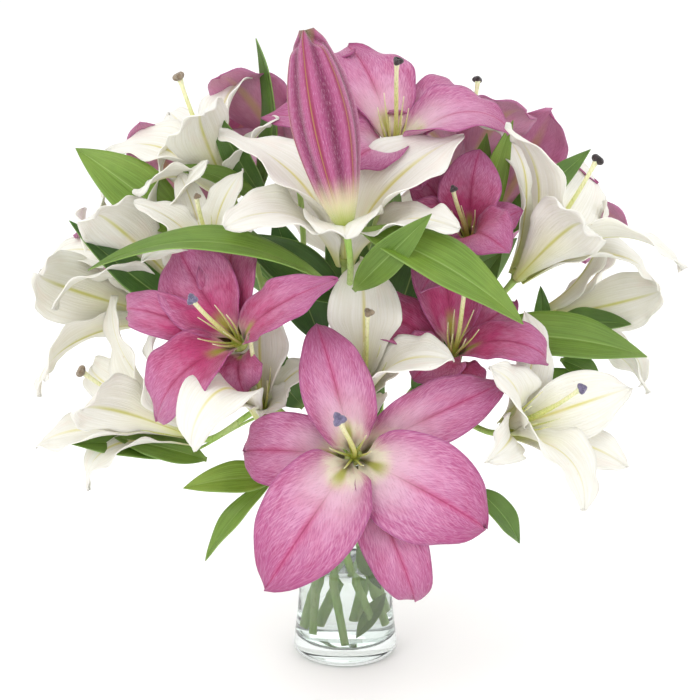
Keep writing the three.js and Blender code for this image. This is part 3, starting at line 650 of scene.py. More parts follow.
def pink_petal_finish(settings, back):
    f = Finish(
        "pink_petal_back" if back else "pink_petal_face",
        Subsurface_Weight=0.12, Subsurface_Scale=0.004, Sheen_Weight=0.18, Sheen_Roughness=0.45, IOR=1.4,
        Specular_IOR_Level=0.35,
    )
    f.shader.inputs["Subsurface Radius"].default_value = (1.0, 0.35, 0.5)
    edge, signed, along = f.across_along()
    veins = veins_of(f, edge, signed, along, 26.0)
    fine = veins_of(f, edge, signed, along, 70.0)
    blotches = f.noise(f.spot(signed, f.times(along, 2.2), f.times(f.tone(), 9.0)), 3.2, 4.0, 0.6)
    # a petal is deepest in the throat and grows paler towards its end and along its edges
    fading = f.times(f.range(along, 0.82, 0.36, 0.1, 1.0), f.range(edge, 1.05, 0.5, 0.45, 1.0))
    tone = f.times(f.tone(), fading)
    tone = f.node("ShaderNodeClamp", Value=f.calc("ADD", tone, f.range(blotches, 0.35, 0.7, -0.12, 0.22)))
    pale, deep = tuple(settings.pink), tuple(settings.magenta)
    shade = f.mixed(tone, pale, deep)
    light = f.mixed(tone, tint("dda6c5"), tint("c24c80"))
    # paler between the midrib and the edge, deeper towards the edge and the end
    middle = f.times(f.range(edge, 0.9, 0.25), f.range(along, 0.9, 0.35))
    skin = f.mixed(f.times(middle, 0.8), shade, light)
    skin = f.mixed(f.range(veins, 0.42, 0.66, 0.0, 0.35), skin, light)
    skin = f.mixed(f.range(fine, 0.5, 0.72, 0.0, 0.3), skin, f.mixed(tone, tint("a0457a"), tint("7a1045")))
    slant = f.times(f.calc("MULTIPLY_ADD", edge, -0.5, along), 60.0)
    oblique = f.noise(f.spot(f.times(signed, 9.0), slant), 1.0, 3.0)
    skin = f.mixed(f.range(oblique, 0.47, 0.66, 0.0, 0.5), skin, light)
    dark = f.mixed(tone, tint("a03f76"), tint("861950"))
    skin = f.mixed(f.range(oblique, 0.48, 0.32, 0.0, 0.45), skin, dark)
    end = f.times(f.range(along, 0.55, 1.0), f.range(edge, 0.0, 0.9, 0.5, 1.0))
    skin = f.mixed(f.times(end, 0.7), skin, f.mixed(f.tone(), tint("99306c"), tint("a2507f")))
    net = f.node(
        "ShaderNodeTexVoronoi", settings={"feature": "DISTANCE_TO_EDGE"}, Scale=1.0,
        Vector=f.spot(f.times(signed, 15.0), f.times(f.calc("MULTIPLY_ADD", edge, -0.3, along), 12.0)),
    )
    skin = f.mixed(f.range(net, 0.1, 0.0, 0.0, 0.25), skin, light)
    skin = f.mixed(f.range(edge, 0.93, 1.0, 0.0, 0.45), skin, tint("9c4a83"))
    rib = f.times(f.range(edge, 0.15, 0.0), f.range(along, 0.25, 0.5))
    if back:
        skin = f.mixed(0.35, skin, tint("e3b4d2"))
        keel = f.times(f.range(edge, 0.2, 0.02), f.range(along, 1.0, 0.55))
        skin = f.mixed(f.times(keel, 0.7), skin, tint("c9b07c"))
        skin = f.mixed(f.range(along, 0.2, 0.02), skin, tint("b9c27a"))
    else:
        skin = f.mixed(f.times(rib, 0.55), skin, f.mixed(tone, tint("b83a74"), tint("8c0f3f")))
        crease = f.times(f.range(edge, 0.025, 0.0), f.range(along, 0.2, 0.45))
        skin = f.mixed(f.times(crease, 0.6), skin, tint("8a1f4a"))
        blush = f.times(f.range(along, 0.62, 0.22), f.range(edge, 0.95, 0.35))
        blush = f.times(blush, f.range(f.tone(), 0.7, 0.15, 0.0, 0.6))
        skin = f.mixed(blush, skin, tint("f1d9df"))
        # the cream throat, its yellow-green furrow and the dark olive foot
        wide = f.calc("MULTIPLY_ADD", f.range(edge, 0.2, 1.0), -0.1, 0.29)
        wide = f.calc("ADD", wide, f.calc("MULTIPLY_ADD", tone, -0.07, 0.0))
        wide = f.calc("ADD", wide, f.calc("MULTIPLY_ADD", veins, 0.12, -0.06))
        cream = f.range(f.calc("SUBTRACT", along, wide), 0.07, -0.07)
        skin = f.mixed(cream, skin, f.mixed(tone, tint("f3ead6"), tint("d98ba0")))
        furrow = f.times(f.range(edge, 0.26, 0.06), f.range(along, 0.36, 0.2))
        skin = f.mixed(f.times(furrow, 0.85), skin, tint("a7b02e"))
        foot = f.times(f.range(along, 0.18, 0.08), f.range(edge, 0.9, 0.1))
        skin = f.mixed(f.times(foot, 0.9), skin, tint("4c4a12"))
        freckles = f.node("ShaderNodeTexVoronoi", Vector=f.spot(signed, f.times(along, 3.0)), Scale=11.0)
        dots = f.times(f.range(along, 0.5, 0.3), f.range(along, 0.1, 0.25))
        dots = f.times(f.range(freckles, 0.16, 0.08), dots)
        skin = f.mixed(f.times(dots, 0.35), skin, tint("9c2f63"))
    f.colour(skin)
    f.rough(f.range(veins, 0.2, 0.8, 0.44, 0.62))
    ridges = f.bumped(fine, 0.0006, 0.5)
    ridges = f.bumped(veins, 0.0016, 0.5, under=ridges)
    f.normal(f.bumped(f.noise(f.body(), 900.0, 2.0), 0.0003, 0.35, under=ridges))
    return f.material


def white_petal_finish(settings, back):
    f = Finish(
        "white_petal_back" if back else "white_petal_face",
        Subsurface_Weight=0.15, Subsurface_Scale=0.005, Sheen_Weight=0.12, Sheen_Roughness=0.5, IOR=1.4,
        Specular_IOR_Level=0.35,
    )
    f.shader.inputs["Subsurface Radius"].default_value = (1.0, 0.95, 0.7)
    edge, signed, along = f.across_along()
    veins = veins_of(f, edge, signed, along, 24.0)
    fine = veins_of(f, edge, signed, along, 64.0)
    skin = f.mixed(f.range(veins, 0.35, 0.7, 0.0, 0.5), tuple(settings.white), tint("e0dcc9"))
    skin = f.mixed(f.range(fine, 0.5, 0.8, 0.0, 0.25), skin, tint("d9d8c2"))
    skin = f.mixed(f.times(f.range(edge, 0.7, 1.0), 0.3), skin, tint("f6f4ec"))
    glow = f.times(f.range(edge, 0.85, 0.0), f.range(along, 0.62, 0.12))
    skin = f.mixed(f.times(glow, 0.7), skin, tint("ecebaa"))
    foot = f.range(along, 0.24, 0.04)
    skin = f.mixed(f.times(foot, 0.75), skin, tint("cdd668"))
    rib = f.times(f.range(edge, 0.09, 0.0), f.range(along, 1.05, 0.5))
    skin = f.mixed(f.times(rib, 0.85), skin, tint("cbc95c" if back else "d9cf66"))
    blush = f.noise(f.spot(signed, f.times(along, 2.0), f.tone()), 1.7, 2.0)
    skin = f.mixed(f.times(f.range(blush, 0.56, 0.75), 0.3), skin, tint("f0dfd3"))
    stains = f.noise(f.spot(signed, f.times(along, 2.4), f.times(f.tone(), 7.0)), 9.0, 3.0)
    skin = f.mixed(f.range(stains, 0.735, 0.78, 0.0, 0.5), skin, tint("c08a48"))
    f.colour(skin)
    f.rough(f.range(veins, 0.2, 0.8, 0.42, 0.6))
    ridges = f.bumped(fine, 0.0005, 0.45)
    ridges = f.bumped(veins, 0.0016, 0.45, under=ridges)
    f.normal(f.bumped(f.noise(f.body(), 900.0, 2.0), 0.0003, 0.3, under=ridges))
    return f.material


def leaf_finish(settings, back):
    f = Finish(
        "leaf_underside" if back else "leaf_face", Subsurface_Weight=0.06, Subsurface_Scale=0.003,
        Coat_Weight=0.0 if back else 0.25, Coat_Roughness=0.3, IOR=1.45,
    )
    f.shader.inputs["Subsurface Radius"].default_value = (0.5, 1.0, 0.2)
    edge, signed, along = f.across_along()
    tone = f.tone()
    lines = f.noise(f.spot(f.times(signed, 16.0), f.times(along, 1.2)), 1.0, 3.0)
    cells = f.noise(f.spot(f.times(signed, 60.0), f.times(along, 6.0)), 1.0, 4.0)
    wash = f.noise(f.body(), 28.0, 3.0)
    skin = f.mixed(tone, tuple(settings.leaf_dark), tuple(settings.leaf_bright))
    skin = f.mixed(f.range(wash, 0.35, 0.7, 0.0, 0.5), skin, f.mixed(tone, tint("4f8026"), tint("9bb044")))
    skin = f.mixed(f.range(lines, 0.45, 0.6, 0.0, 0.5), skin, f.mixed(tone, tint("2c5a18"), tint("93b84a")))
    skin = f.mixed(f.range(cells, 0.52, 0.7, 0.0, 0.3), skin, tint("27501a"))
    skin = f.mixed(f.times(f.range(edge, 0.05, 0.0), 0.5), skin, tint("a9c573"))
    skin = f.mixed(f.range(edge, 0.93, 1.0, 0.0, 0.5), skin, tint("8fb35a"))
    skin = f.mixed(f.range(along, 0.12, 0.0, 0.0, 0.6), skin, tint("a3bf6a"))
    if back:
        skin = f.mixed(0.4, skin, tint("9dbb84"))
    f.colour(skin)
    f.rough(f.range(cells, 0.3, 0.7, 0.38 if not back else 0.5, 0.55 if not back else 0.68))
    f.normal(f.bumped(cells, 0.0003, 0.4, under=f.bumped(lines, 0.001, 0.6)))
    return f.material


def stem_finish(settings):
    f = Finish("stem_skin", Subsurface_Weight=0.05, Subsurface_Scale=0.002, IOR=1.42)
    place = f.body()
    streaks = f.noise(f.node("ShaderNodeMapping", Vector=place, Scale=(700, 700, 45)), 1.0, 4.0)
    wash = f.noise(place, 34.0, 3.0)
    skin = f.mixed(f.range(wash, 0.35, 0.68), tuple(settings.stem), tint("bdd388"))
    skin = f.mixed(f.range(streaks, 0.48, 0.7, 0.0, 0.45), skin, tint("7aa548"))
    specks = f.node("ShaderNodeTexVoronoi", Vector=place, Scale=210.0)
    skin = f.mixed(f.range(specks, 0.16, 0.06, 0.0, 0.5), skin, tint("6b4a2a"))
    f.colour(skin)
    f.rough(f.range(streaks, 0.3, 0.7, 0.4, 0.6))
    f.normal(f.bumped(streaks, 0.0004, 0.5))
    return f.material


def style_finish():
    f = Finish("style_and_filaments", Subsurface_Weight=0.12, Subsurface_Scale=0.002, IOR=1.42)
    _, _, along = f.across_along()
    grain = f.noise(f.node("ShaderNodeMapping", Vector=f.body(), Scale=(900, 900, 200)), 1.0, 3.0)
    skin = f.ramp(along, (0.0, tint("b9c24e")), (0.55, tint("d9dd92")), (1.0, tint("ecebc4")))
    f.colour(f.mixed(f.range(grain, 0.45, 0.7, 0.0, 0.4), skin, tint("a4b23e")))
    f.rough(f.range(grain, 0.3, 0.7, 0.38, 0.55))
    f.normal(f.bumped(grain, 0.0003, 0.4))
    return f.material


STIGMA_TINTS = {"lilac": ("8d84a4", "5d5573"), "fawn": ("b8a68f", "7d6a52"), "dark": ("4a3b3f", "1f1718")}


def stigma_finish(name):
    f = Finish(f"stigma_{name}", Sheen_Weight=0.4, Sheen_Roughness=0.5, IOR=1.4)
    pale, deep = (tint(c) for c in STIGMA_TINTS[name])
    pile = f.node("ShaderNodeTexVoronoi", Vector=f.body(), Scale=1400.0)
    mottle = f.noise(f.body(), 300.0, 3.0)
    skin = f.mixed(f.range(mottle, 0.35, 0.65), deep, pale)
    f.colour(f.mixed(f.range(pile, 0.1, 0.6, 0.0, 0.5), skin, deep))
    f.rough(f.range(mottle, 0.3, 0.7, 0.55, 0.8))
    f.normal(f.bumped(pile, 0.0007, 0.8))
    return f.material


def receptacle_finish():
    f = Finish("receptacle", Subsurface_Weight=0.08, Subsurface_Scale=0.002, IOR=1.42)
    grain = f.noise(f.body(), 160.0, 4.0)
    f.colour(f.mixed(f.range(grain, 0.35, 0.7), tint("8fa84a"), tint("c4cf7d")))
    f.rough(f.range(grain, 0.3, 0.7, 0.42, 0.58))
    f.normal(f.bumped(grain, 0.0005, 0.5))
    return f.material


def bud_finish(settings):
    f = Finish(
        "bud_skin", Subsurface_Weight=0.08, Subsurface_Scale=0.004, Sheen_Weight=0.35,
        Sheen_Roughness=0.4, IOR=1.4,
    )
    _, around, along = f.across_along()
    keel = f.node("ShaderNodeAttribute", output=2, settings={"attribute_name": "keel"})
    streaks = f.noise(f.spot(f.times(around, 90.0), f.times(along, 3.0)), 1.0, 4.0)
    down = f.noise(f.spot(f.times(around, 240.0), f.times(along, 34.0)), 1.0, 3.0)
    skin = f.mixed(f.range(keel, 1.0, 0.35), tint("6f1743"), tint("b25a87"))
    skin = f.mixed(f.range(streaks, 0.42, 0.68, 0.0, 0.6), skin, tint("8f2f66"))
    skin = f.mixed(f.range(down, 0.52, 0.72, 0.0, 0.55), skin, tint("dcb0c9"))
    skin = f.mixed(f.range(keel, 0.26, 0.1, 0.0, 0.75), skin, tint("8a2248"))
    skin = f.mixed(f.range(keel, 0.07, 0.03, 0.0, 0.85), skin, tint("ad8742"))
    fade = f.calc("ADD", along, f.calc("MULTIPLY_ADD", streaks, 0.1, -0.05))
    skin = f.mixed(f.range(fade, 0.3, 0.12), skin, tint("d9cfa6"))
    skin = f.mixed(f.range(fade, 0.17, 0.02), skin, tint("a9b94f"))
    skin = f.mixed(f.range(along, 0.97, 1.0), skin, tint("7d6a3a"))
    f.colour(skin)
    f.rough(f.range(streaks, 0.3, 0.7, 0.45, 0.65))
    f.normal(f.bumped(down, 0.0005, 0.6, under=f.bumped(streaks, 0.0009, 0.5)))
    return f.material


def glass_finish(settings):
    f = Finish("clear_glass", Roughness=0.0, IOR=1.5, Transmission_Weight=1.0, Specular_IOR_Level=0.5)
    f.colour((*settings.glass, 1))
    ripple = f.noise(f.node("ShaderNodeMapping", Vector=f.body(), Scale=(14, 14, 5)), 1.0, 1.0)
    f.normal(f.bumped(ripple, 0.0015, 0.25))
    return f.material


def water_finish():
    f = Finish("water", Roughness=0.0, IOR=1.333, Transmission_Weight=1.0)
    f.colour((0.955, 0.985, 0.975, 1))
    swell = f.noise(f.body(), 40.0, 1.0)
    f.normal(f.bumped(swell, 0.0006, 0.15))
    return f.material


def floor_finish(settings):
    f = Finish("studio_floor", Roughness=0.7, Emission_Color=(1, 1, 1, 1), Emission_Strength=0.12)
    grain = f.noise(f.body(), 60.0, 3.0)
    f.colour(f.mixed(f.range(grain, 0.4, 0.6, 0.0, 0.15), (*settings.floor, 1), tint("fafafa")))
    return f.material


MADE = {}


def finish_of(name, make):
    """A material that many pieces share, made the first time it is asked for."""
    if name not in MADE:
        MADE[name] = make()
    return MADE[name]


# ---- Petals ----
PETAL_COLUMNS = 14
PETAL_ROWS = 34


def midrib(start, length, throat, middle, tip, steps):
    """A midrib as (distance from the axis, height, angle) rows, from its base to its tip."""

    def angle(s):
        return math.radians(throat * (1 - s) * (1 - 2 * s) + 4 * middle * s * (1 - s) + tip * s * (2 * s - 1))

    r, z = start, 0.0
    rows = [(r, z, angle(0))]
    for i in range(steps):
        half = angle((i + 0.5) / steps)
        r += length / steps * math.sin(half)
        z += length / steps * math.cos(half)
        rows.append((r, z, angle((i + 1) / steps)))
    return rows


def petal_width(s, form):
    """Width of a petal at the share s of its length, as a share of its full width."""
    return max(math.sin(math.pi * s ** form["swell"]) ** form["blunt"] if 0 < s < 1 else 0, 0.02)


def add_petal(piece, bloom, index, k):
    form = FORMS[bloom.form]
    size = bloom.size
    inner = k % 2 == 0
    spread = bloom.opening + (0 if inner else WHORL_SPREAD)
    length = (TEPAL_LENGTH + 4 * sway(index, k)) * size * bloom.reach[k]
    width = form["inner" if inner else "outer"] * size * bloom.broad[k]
    curled = bloom.curled[k]
    rib = midrib(
        THROAT_RADIUS + (0 if inner else WHORL_STEP),
        length,
        form["throat"] + 0.3 * spread,
        form["middle"] + spread + 2.5 * sway(index + 3, k),
        form["tip"] + spread + 14 * sway(index, k + 5) + curled,
        PETAL_ROWS,
    )
    turned = bloom.turned[k] if bloom.turned else 3 * sway(index + 1, k)
    turn = math.radians(bloom.roll + 60 * k + turned)
    twist = math.radians(bloom.twisted[k] if bloom.twisted else 14 * sway(index + 2, k))
    depth = (0 if inner else -WHORL_DROP) + bloom.raised[k]

    def place(across, s):
        r0, z0, angle = rib[round(s * PETAL_ROWS)]
        wrap = blend(CLAW_SHARE, INNER_WRAP if inner else OUTER_WRAP, smooth(0.0, 0.25, s)) * r0
        blade = width * petal_width(s, form) / 2
        half = blend(wrap, min(blade, wrap), smooth(0.02, 0.2, s))
        fold = min(max(CUPPING * (1.02 - s), 0.02) * half / r0, 1.2)
        arc = half / fold
        bend = across * fold
        sideways = arc * math.sin(bend)
        lift = arc - arc * math.cos(bend)
        # a furrow along the midrib, a ruffled edge and a slow wave of the whole blade
        grown = smooth(0.12, 0.4, s)
        lift -= FURROW_DEPTH * size * math.exp(-((across / 0.13) ** 2)) * grown * (1 - 0.6 * s)
        phase = 2.1 * sway(index + 5, k) + (1.7 if across > 0 else 0)
        wave = math.sin(2 * math.pi * (2.3 * s + phase)) + 0.5 * math.sin(2 * math.pi * (4.7 * s + 2 * phase))
        lift += form["ruffle"] * size * wave * abs(across) ** 3 * grown
        lift += 1.2 * size * math.sin(2 * math.pi * (1.1 * s + phase)) * grown * (1 - across**2)
        t = sideways * math.cos(twist * s) - lift * math.sin(twist * s)
        n = sideways * math.sin(twist * s) + lift * math.cos(twist * s)
        r = r0 - n * math.cos(angle)
        z = z0 + n * math.sin(angle) + depth
        return Vector((
            r * math.cos(turn) - t * math.sin(turn),
            r * math.sin(turn) + t * math.cos(turn),
            z,
        ))

    tone = min(max(bloom.tone + 0.12 * sway(index, k + 2), 0), 1)
    piece.grid(PETAL_COLUMNS, PETAL_ROWS, place, tone=tone, flip=True)


def build_bloom(bloom, settings):
    index = BLOOMS.index(bloom)
    piece = Piece()
    for k in range(6):
        add_petal(piece, bloom, index, k)
    make = pink_petal_finish if bloom.form == "pink" else white_petal_finish
    skins = [finish_of(f"{bloom.form}_{side}", lambda: make(settings, side)) for side in (0, 1)]
    made = piece.finished(
        f"{bloom.name}_petals", skins, [f"{bloom.name}_tepals"],
        standing(bloom.at, heading(*bloom.heading)),
    )
    give_thickness(made, FORMS[bloom.form]["thickness"])
    cup = Piece()
    foot = [(0, -6), (2.7, -6), (3.2, -5), (4.6, -2.8)]
    cup.turned(foot + [(5.8, -0.6), (6.2, 0.8), (5.6, 2.0), (3.4, 2.3), (0, 2.3)], 28)
    cup.finished(
        f"{bloom.name}_receptacle", [finish_of("receptacle", receptacle_finish)],
        matrix=standing(bloom.at, heading(*bloom.heading)),
    )


def build_pistil(bloom):
    index = BLOOMS.index(bloom)
    size = bloom.size
    piece = Piece()
    foot = RECEPTACLE_TOP + GAP
    long = STYLE_LENGTH * size
    lean_x, lean_y = bloom.lean or (0, STYLE_LEAN * size)

    def style_at(share):
        return Vector((0.6 * math.sin(5 * share) + lean_x * share**2, lean_y * share**2, foot + long * share))

    shares = [i / STYLE_STEPS for i in range(STYLE_STEPS + 1)]
    slim = [blend(2.8, 1.5, smooth(0, 0.12, s)) * (0.9 + 0.1 * size) for s in shares]
    thick = [radius + 0.8 * size * smooth(0.93, 1, s) for s, radius in zip(shares, slim)]
    piece.rod([style_at(s) for s in shares], thick, sides=14)
    knob = STIGMA_RADIUS * size

    def stigma(p):
        around = math.atan2(p.y, p.x)
        lobes = 0.82 + 0.18 * math.cos(3 * around) + 0.03 * math.cos(9 * around)
        flat = Vector((p.x * lobes * knob, p.y * lobes * knob, p.z * 0.62 * knob))
        flat.z -= 0.35 * knob * math.exp(-((p.x**2 + p.y**2) / 0.12)) * (p.z > 0)
        return flat + Vector((lean_x, lean_y, foot + long + 1.6 * size))

    piece.ball(stigma, material=1, u=30, v=16)
    for k in range(6):
        reach = FILAMENT_LENGTH * size * (1 + 0.08 * sway(k, 2))
        tilt = math.radians(14 + 5 * sway(k, index))
        turn = math.radians(bloom.roll + 60 * k + 8)
        out = Vector((math.cos(turn), math.sin(turn), 0))
        shares = [i / FILAMENT_STEPS for i in range(FILAMENT_STEPS + 1)]
        spike = []
        for s in shares:
            away = 1.9 + reach * s * math.sin(tilt) + 1.5 * size * math.sin(math.pi * s)
            spike.append(out * away + Vector((0, 0, foot + 0.6 + reach * s * math.cos(tilt))))
        piece.rod(spike, [blend(FILAMENT_RADIUS, FILAMENT_END, s) for s in shares], sides=8)
    skins = [
        finish_of("style", style_finish),
        finish_of(f"stigma_{bloom.stigma}", lambda: stigma_finish(bloom.stigma)),
    ]
    piece.finished(
        f"{bloom.name}_style", skins, [f"{bloom.name}_pistil"],
        standing(bloom.at, heading(*bloom.heading)),
    )


# ---- Stems, bud and leaves ----
def seat_of(name):
    """Where a pedicel ends, just under the bloom or bud that it carries, and the heading it arrives along."""
    for bloom in BLOOMS:
        if bloom.name == name:
            axis = heading(*bloom.heading)
            return Vector(bloom.at) - axis * (RECEPTACLE_DEPTH - RECEPTACLE_TOP - 0.4), axis
    return BUD_AT - BUD_AXIS * 0.2, BUD_AXIS


def build_stem(row, settings):
    foot = row.foot
    points = [
        ring_point(FOOT_RING, foot, GLASS_BASE + GAP + row.stand),
        ring_point(NECK_RING, foot - 0.6 * STEM_TURN, WAIST_HEIGHT + 8),
        ring_point(MOUTH_RING, foot - STEM_TURN, VASE_HEIGHT),
        Vector(row.fork),
    ]
    piece = Piece()
    path = [centripetal_point(points, i / STEM_STEPS) for i in range(STEM_STEPS + 1)]
    radii = []
    for i in range(STEM_STEPS + 1):
        s = i / STEM_STEPS
        swell = sum(math.exp(-(((s - n - 0.02 * sway(foot, n)) / 0.012) ** 2)) for n in STEM_NODES)
        radii.append(STEM_RADIUS + 0.3 * smooth(0.3, 0.6, s) + 0.3 * swell)
    piece.rod(path, radii, sides=18)
    start = centripetal_point(points, 0.97)
    along = (points[-1] - centripetal_point(points, 0.985)).normalized()
    for name in row.carries:
        end, axis = seat_of(name)
        reach = (end - start).length
        bow = (start, start + along * reach * 0.4, end - axis * reach * 0.3, end)
        shares = [i / PEDICEL_STEPS for i in range(PEDICEL_STEPS + 1)]
        path = [bezier_point(*bow, s) for s in shares]
        radii = [PEDICEL_RADIUS + 0.5 * smooth(0.9, 1, s) + 0.5 * smooth(0.12, 0, s) for s in shares]
        piece.rod(path, radii, sides=14)
    stem_skin = finish_of("stem", lambda: stem_finish(settings))
    piece.finished(f"{row.name}_growth", [stem_skin], [row.name])


def build_bud(settings):
    """A closed bud: three keeled outer tepals over three inner ones, which part a little at their tips."""
    piece = Piece()
    keel = piece.mesh.verts.layers.float.new("keel")
    right = (Vector((1, 0, 0)) - BUD_AXIS * BUD_AXIS.x).normalized()
    over = BUD_AXIS.cross(right)
    made = bmesh.ops.create_uvsphere(piece.mesh, u_segments=96, v_segments=64, radius=1)
    for face in piece.mesh.faces:
        face.smooth = True
        centre = face.calc_center_median()
        middle = ball_place(centre)[0]
        for loop in face.loops:
            u, v = ball_place(loop.vert.co)
            loop[piece.map].uv = (u + round(middle - u), v)
    for v in made["verts"]:
        s = ball_place(v.co)[1]
        around = math.atan2(v.co.y, v.co.x)
        off = (math.degrees(around) + BUD_TURN) % 60
        rib = min(off, 60 - off) / 30
        v[keel] = rib
        v[piece.tone] = 0.5
        r = along_table(BUD_OUTLINE, s) * BUD_RADIUS if 0 < s < 1 else 0
        main = 0.5 + 0.5 * math.cos(3 * (around + math.radians(BUD_TURN)))
        open_end = smooth(0.86, 1.0, s)
        shape = 1 + 0.03 * math.exp(-((rib / 0.12) ** 2)) * smooth(0.03, 0.2, s)
        shape -= 0.1 * smooth(0.35, 1, rib) * smooth(0.03, 0.25, s) + 0.05 * (1 - main) * smooth(0.1, 0.5, s)
        height = s * BUD_LENGTH - BUD_PARTING * open_end * (1 - main) ** 0.7
        r = r * shape + 1.2 * main * open_end * (0 < s < 1)
        v.co = BUD_AT + BUD_AXIS * height + (right * math.cos(around) + over * math.sin(around)) * r
    piece.finished("pink_bud_skin", [bud_finish(settings)], ["pink_bud"])


def leaf_width(s):
    return max(math.sin(math.pi * s**0.85) ** 0.9 if 0 < s < 1 else 0, 0.16 * (1 - s), 0.015)


def build_leaf(row, settings):
    start = Vector(row.start)
    chord = Vector(row.end) - start
    long = chord.length
    chord.normalize()
    face = heading(*row.facing)
    face = (face - chord * face.dot(chord)).normalized()
    across_way = chord.cross(face)
    index = (LEAVES + FILLING_LEAVES).index(row)
    piece = Piece()

    def place(across, s):
        half = row.width * leaf_width(s) / 2
        lift = 4 * row.rise * s * (1 - s) + 0.25 * half * abs(across)
        lift -= 0.5 * math.exp(-((across / 0.1) ** 2)) * smooth(0.0, 0.1, s) * smooth(1.0, 0.85, s)
        phase = sway(index, 3) + (0.4 if across > 0 else 0)
        lift += 0.9 * math.sin(2 * math.pi * (1.9 * s + phase)) * across**2 * math.sin(math.pi * s)
        return start + chord * (long * s) + across_way * (across * half) + face * lift

    piece.grid(12, 36, place, tone=row.tone)
    skins = [finish_of(f"leaf_{side}", lambda: leaf_finish(settings, side)) for side in (0, 1)]
    made = piece.finished(f"{row.name}_blade", skins, [row.name] if row in LEAVES else [])
    give_thickness(made, LEAF_THICKNESS)
    if row.stalk:
        foot = Vector(row.stalk)
        bow = (foot, blend(foot, start, 0.4) + UP * 6, start - chord * 8, start + chord * 2)
        stalk = Piece()
        stalk.rod([bezier_point(*bow, i / 16) for i in range(17)], STALK_RADIUS, sides=10)
        stem_skin = finish_of("stem", lambda: stem_finish(settings))
        stalk.finished(f"{row.name}_stalk", [stem_skin])


# ---- Vase and water ----
def side_radius(z):
    fall = (1 - (z - HEEL_HEIGHT) / (WAIST_HEIGHT - HEEL_HEIGHT)) ** 1.8 if z < WAIST_HEIGHT else 0
    flare = max(0, (z - WAIST_HEIGHT) / (VASE_HEIGHT - WAIST_HEIGHT))
    return WAIST_RADIUS + (HEEL_RADIUS - WAIST_RADIUS) * fall + (RIM_RADIUS - WAIST_RADIUS) * flare**1.6


def arc_points(centre, radius, start, end, count):
    turns = [math.radians(blend(start, end, i / (count - 1))) for i in range(count)]
    return [(centre[0] + radius * math.cos(t), centre[1] + radius * math.sin(t)) for t in turns]


def build_vase(settings):
    rim_round = GLASS_WALL / 2
    heights = [HEEL_HEIGHT + (VASE_HEIGHT - rim_round - HEEL_HEIGHT) * i / 30 for i in range(31)]
    outer = [(side_radius(z), z) for z in heights]
    inner = [(side_radius(z) - GLASS_WALL, z) for z in reversed(heights) if z > WELL_TOP]
    rim = arc_points((RIM_RADIUS - rim_round, VASE_HEIGHT - rim_round), rim_round, 0, 180, 9)
    well_side = side_radius(WELL_TOP) - GLASS_WALL
    well = arc_points((well_side - WELL_ROUND, GLASS_BASE + WELL_ROUND), WELL_ROUND, 0, -90, 9)
    outline = (
        [(0, 1.6), (FOOT_RADIUS - 6, 1.6), (FOOT_RADIUS - 3, 0.7), (FOOT_RADIUS - 1, 0)]
        + [(FOOT_RADIUS, 0)]
        + arc_points((HEEL_RADIUS - HEEL_ROUND, HEEL_ROUND), HEEL_ROUND, -70, 0, 8)
        + outer[1:-1] + rim + inner[1:] + well
        + [(0, GLASS_BASE)]
    )
    piece = Piece()
    piece.turned(outline, VASE_SIDES)
    piece.finished("vase_glass", [glass_finish(settings)], ["vase"])


def build_water(settings):
    wall = GLASS_WALL - WATER_GAP
    level = settings.water_level / MM
    heights = [WELL_TOP + (level - WELL_TOP) * i / 12 for i in range(13)]
    sides = [(side_radius(z) - wall, z) for z in heights]
    floor = GLASS_BASE - WATER_GAP
    well = arc_points((side_radius(WELL_TOP) - wall - WELL_ROUND, floor + WELL_ROUND), WELL_ROUND, -90, 0, 9)
    edge = side_radius(level) - wall
    # the water creeps a little way up the glass
    creep = [(0, 0.9), (-0.15, 0.9), (-0.7, 0.45), (-1.8, 0.1), (-3.2, 0)]
    creep = [(edge + away, level + up) for away, up in creep]
    piece = Piece()
    piece.turned([(0, floor)] + well + sides[1:-1] + creep + [(0, level)], VASE_SIDES)
    piece.finished("vase_water", [water_finish()], ["water"])


# ---- Settings ----
def colour_setting(name, description, default):
    return bpy.props.FloatVectorProperty(
        name=name, description=description, subtype="COLOR", size=3, min=0, max=1, default=default
    )


class LILIES_PG_settings(bpy.types.PropertyGroup):
    """The sizes and colours of the bunch, its vase and the studio."""

    pink: colour_setting("Pink", "Colour of the paler pink petals", tint("b05a8a"))
    magenta: colour_setting("Magenta", "Colour of the deeper pink petals", tint("9a1f52"))
    white: colour_setting("White", "Colour of the white petals", tint("f4f2e9"))
    leaf_dark: colour_setting("Dark Leaf", "Colour of the darkest leaves", tint("1f4a12"))
    leaf_bright: colour_setting("Bright Leaf", "Colour of the brightest leaves", tint("759428"))
    stem: colour_setting("Stem", "Colour of the stems", tint("a3c862"))
    glass: colour_setting("Glass", "Tint of the glass", (0.94, 0.97, 0.955))
    water_level: bpy.props.FloatProperty(
        name="Water Level", description="Height of the water above the floor", unit="LENGTH", min=0.03,
        max=0.12, default=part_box("water")[1].z,
    )
    floor: colour_setting("Floor", "Colour of the studio floor", (0.99, 0.99, 0.99))
    floor_radius: bpy.props.FloatProperty(
        name="Floor Radius", description="Radius of the round floor", unit="LENGTH", min=1, default=14,
    )
    daylight: bpy.props.FloatProperty(
        name="Daylight", description="Strength of the even light from all round", min=0, default=1.05,
    )
    key_power: bpy.props.FloatProperty(
        name="Main Light", description="Power of the large light at the front left", unit="POWER", min=0,
        default=10,
    )
    fill_power: bpy.props.FloatProperty(
        name="Fill Light", description="Power of the lights at the right and behind", unit="POWER", min=0,
        default=3,
    )


class LILIES_OT_vase(bpy.types.Operator):
    """Blow the clear glass vase"""

    bl_idname = "lilies.vase"
    bl_label = "Glass Vase"

    def execute(self, context):
        build_vase(context.scene.lilies)
        return {"FINISHED"}


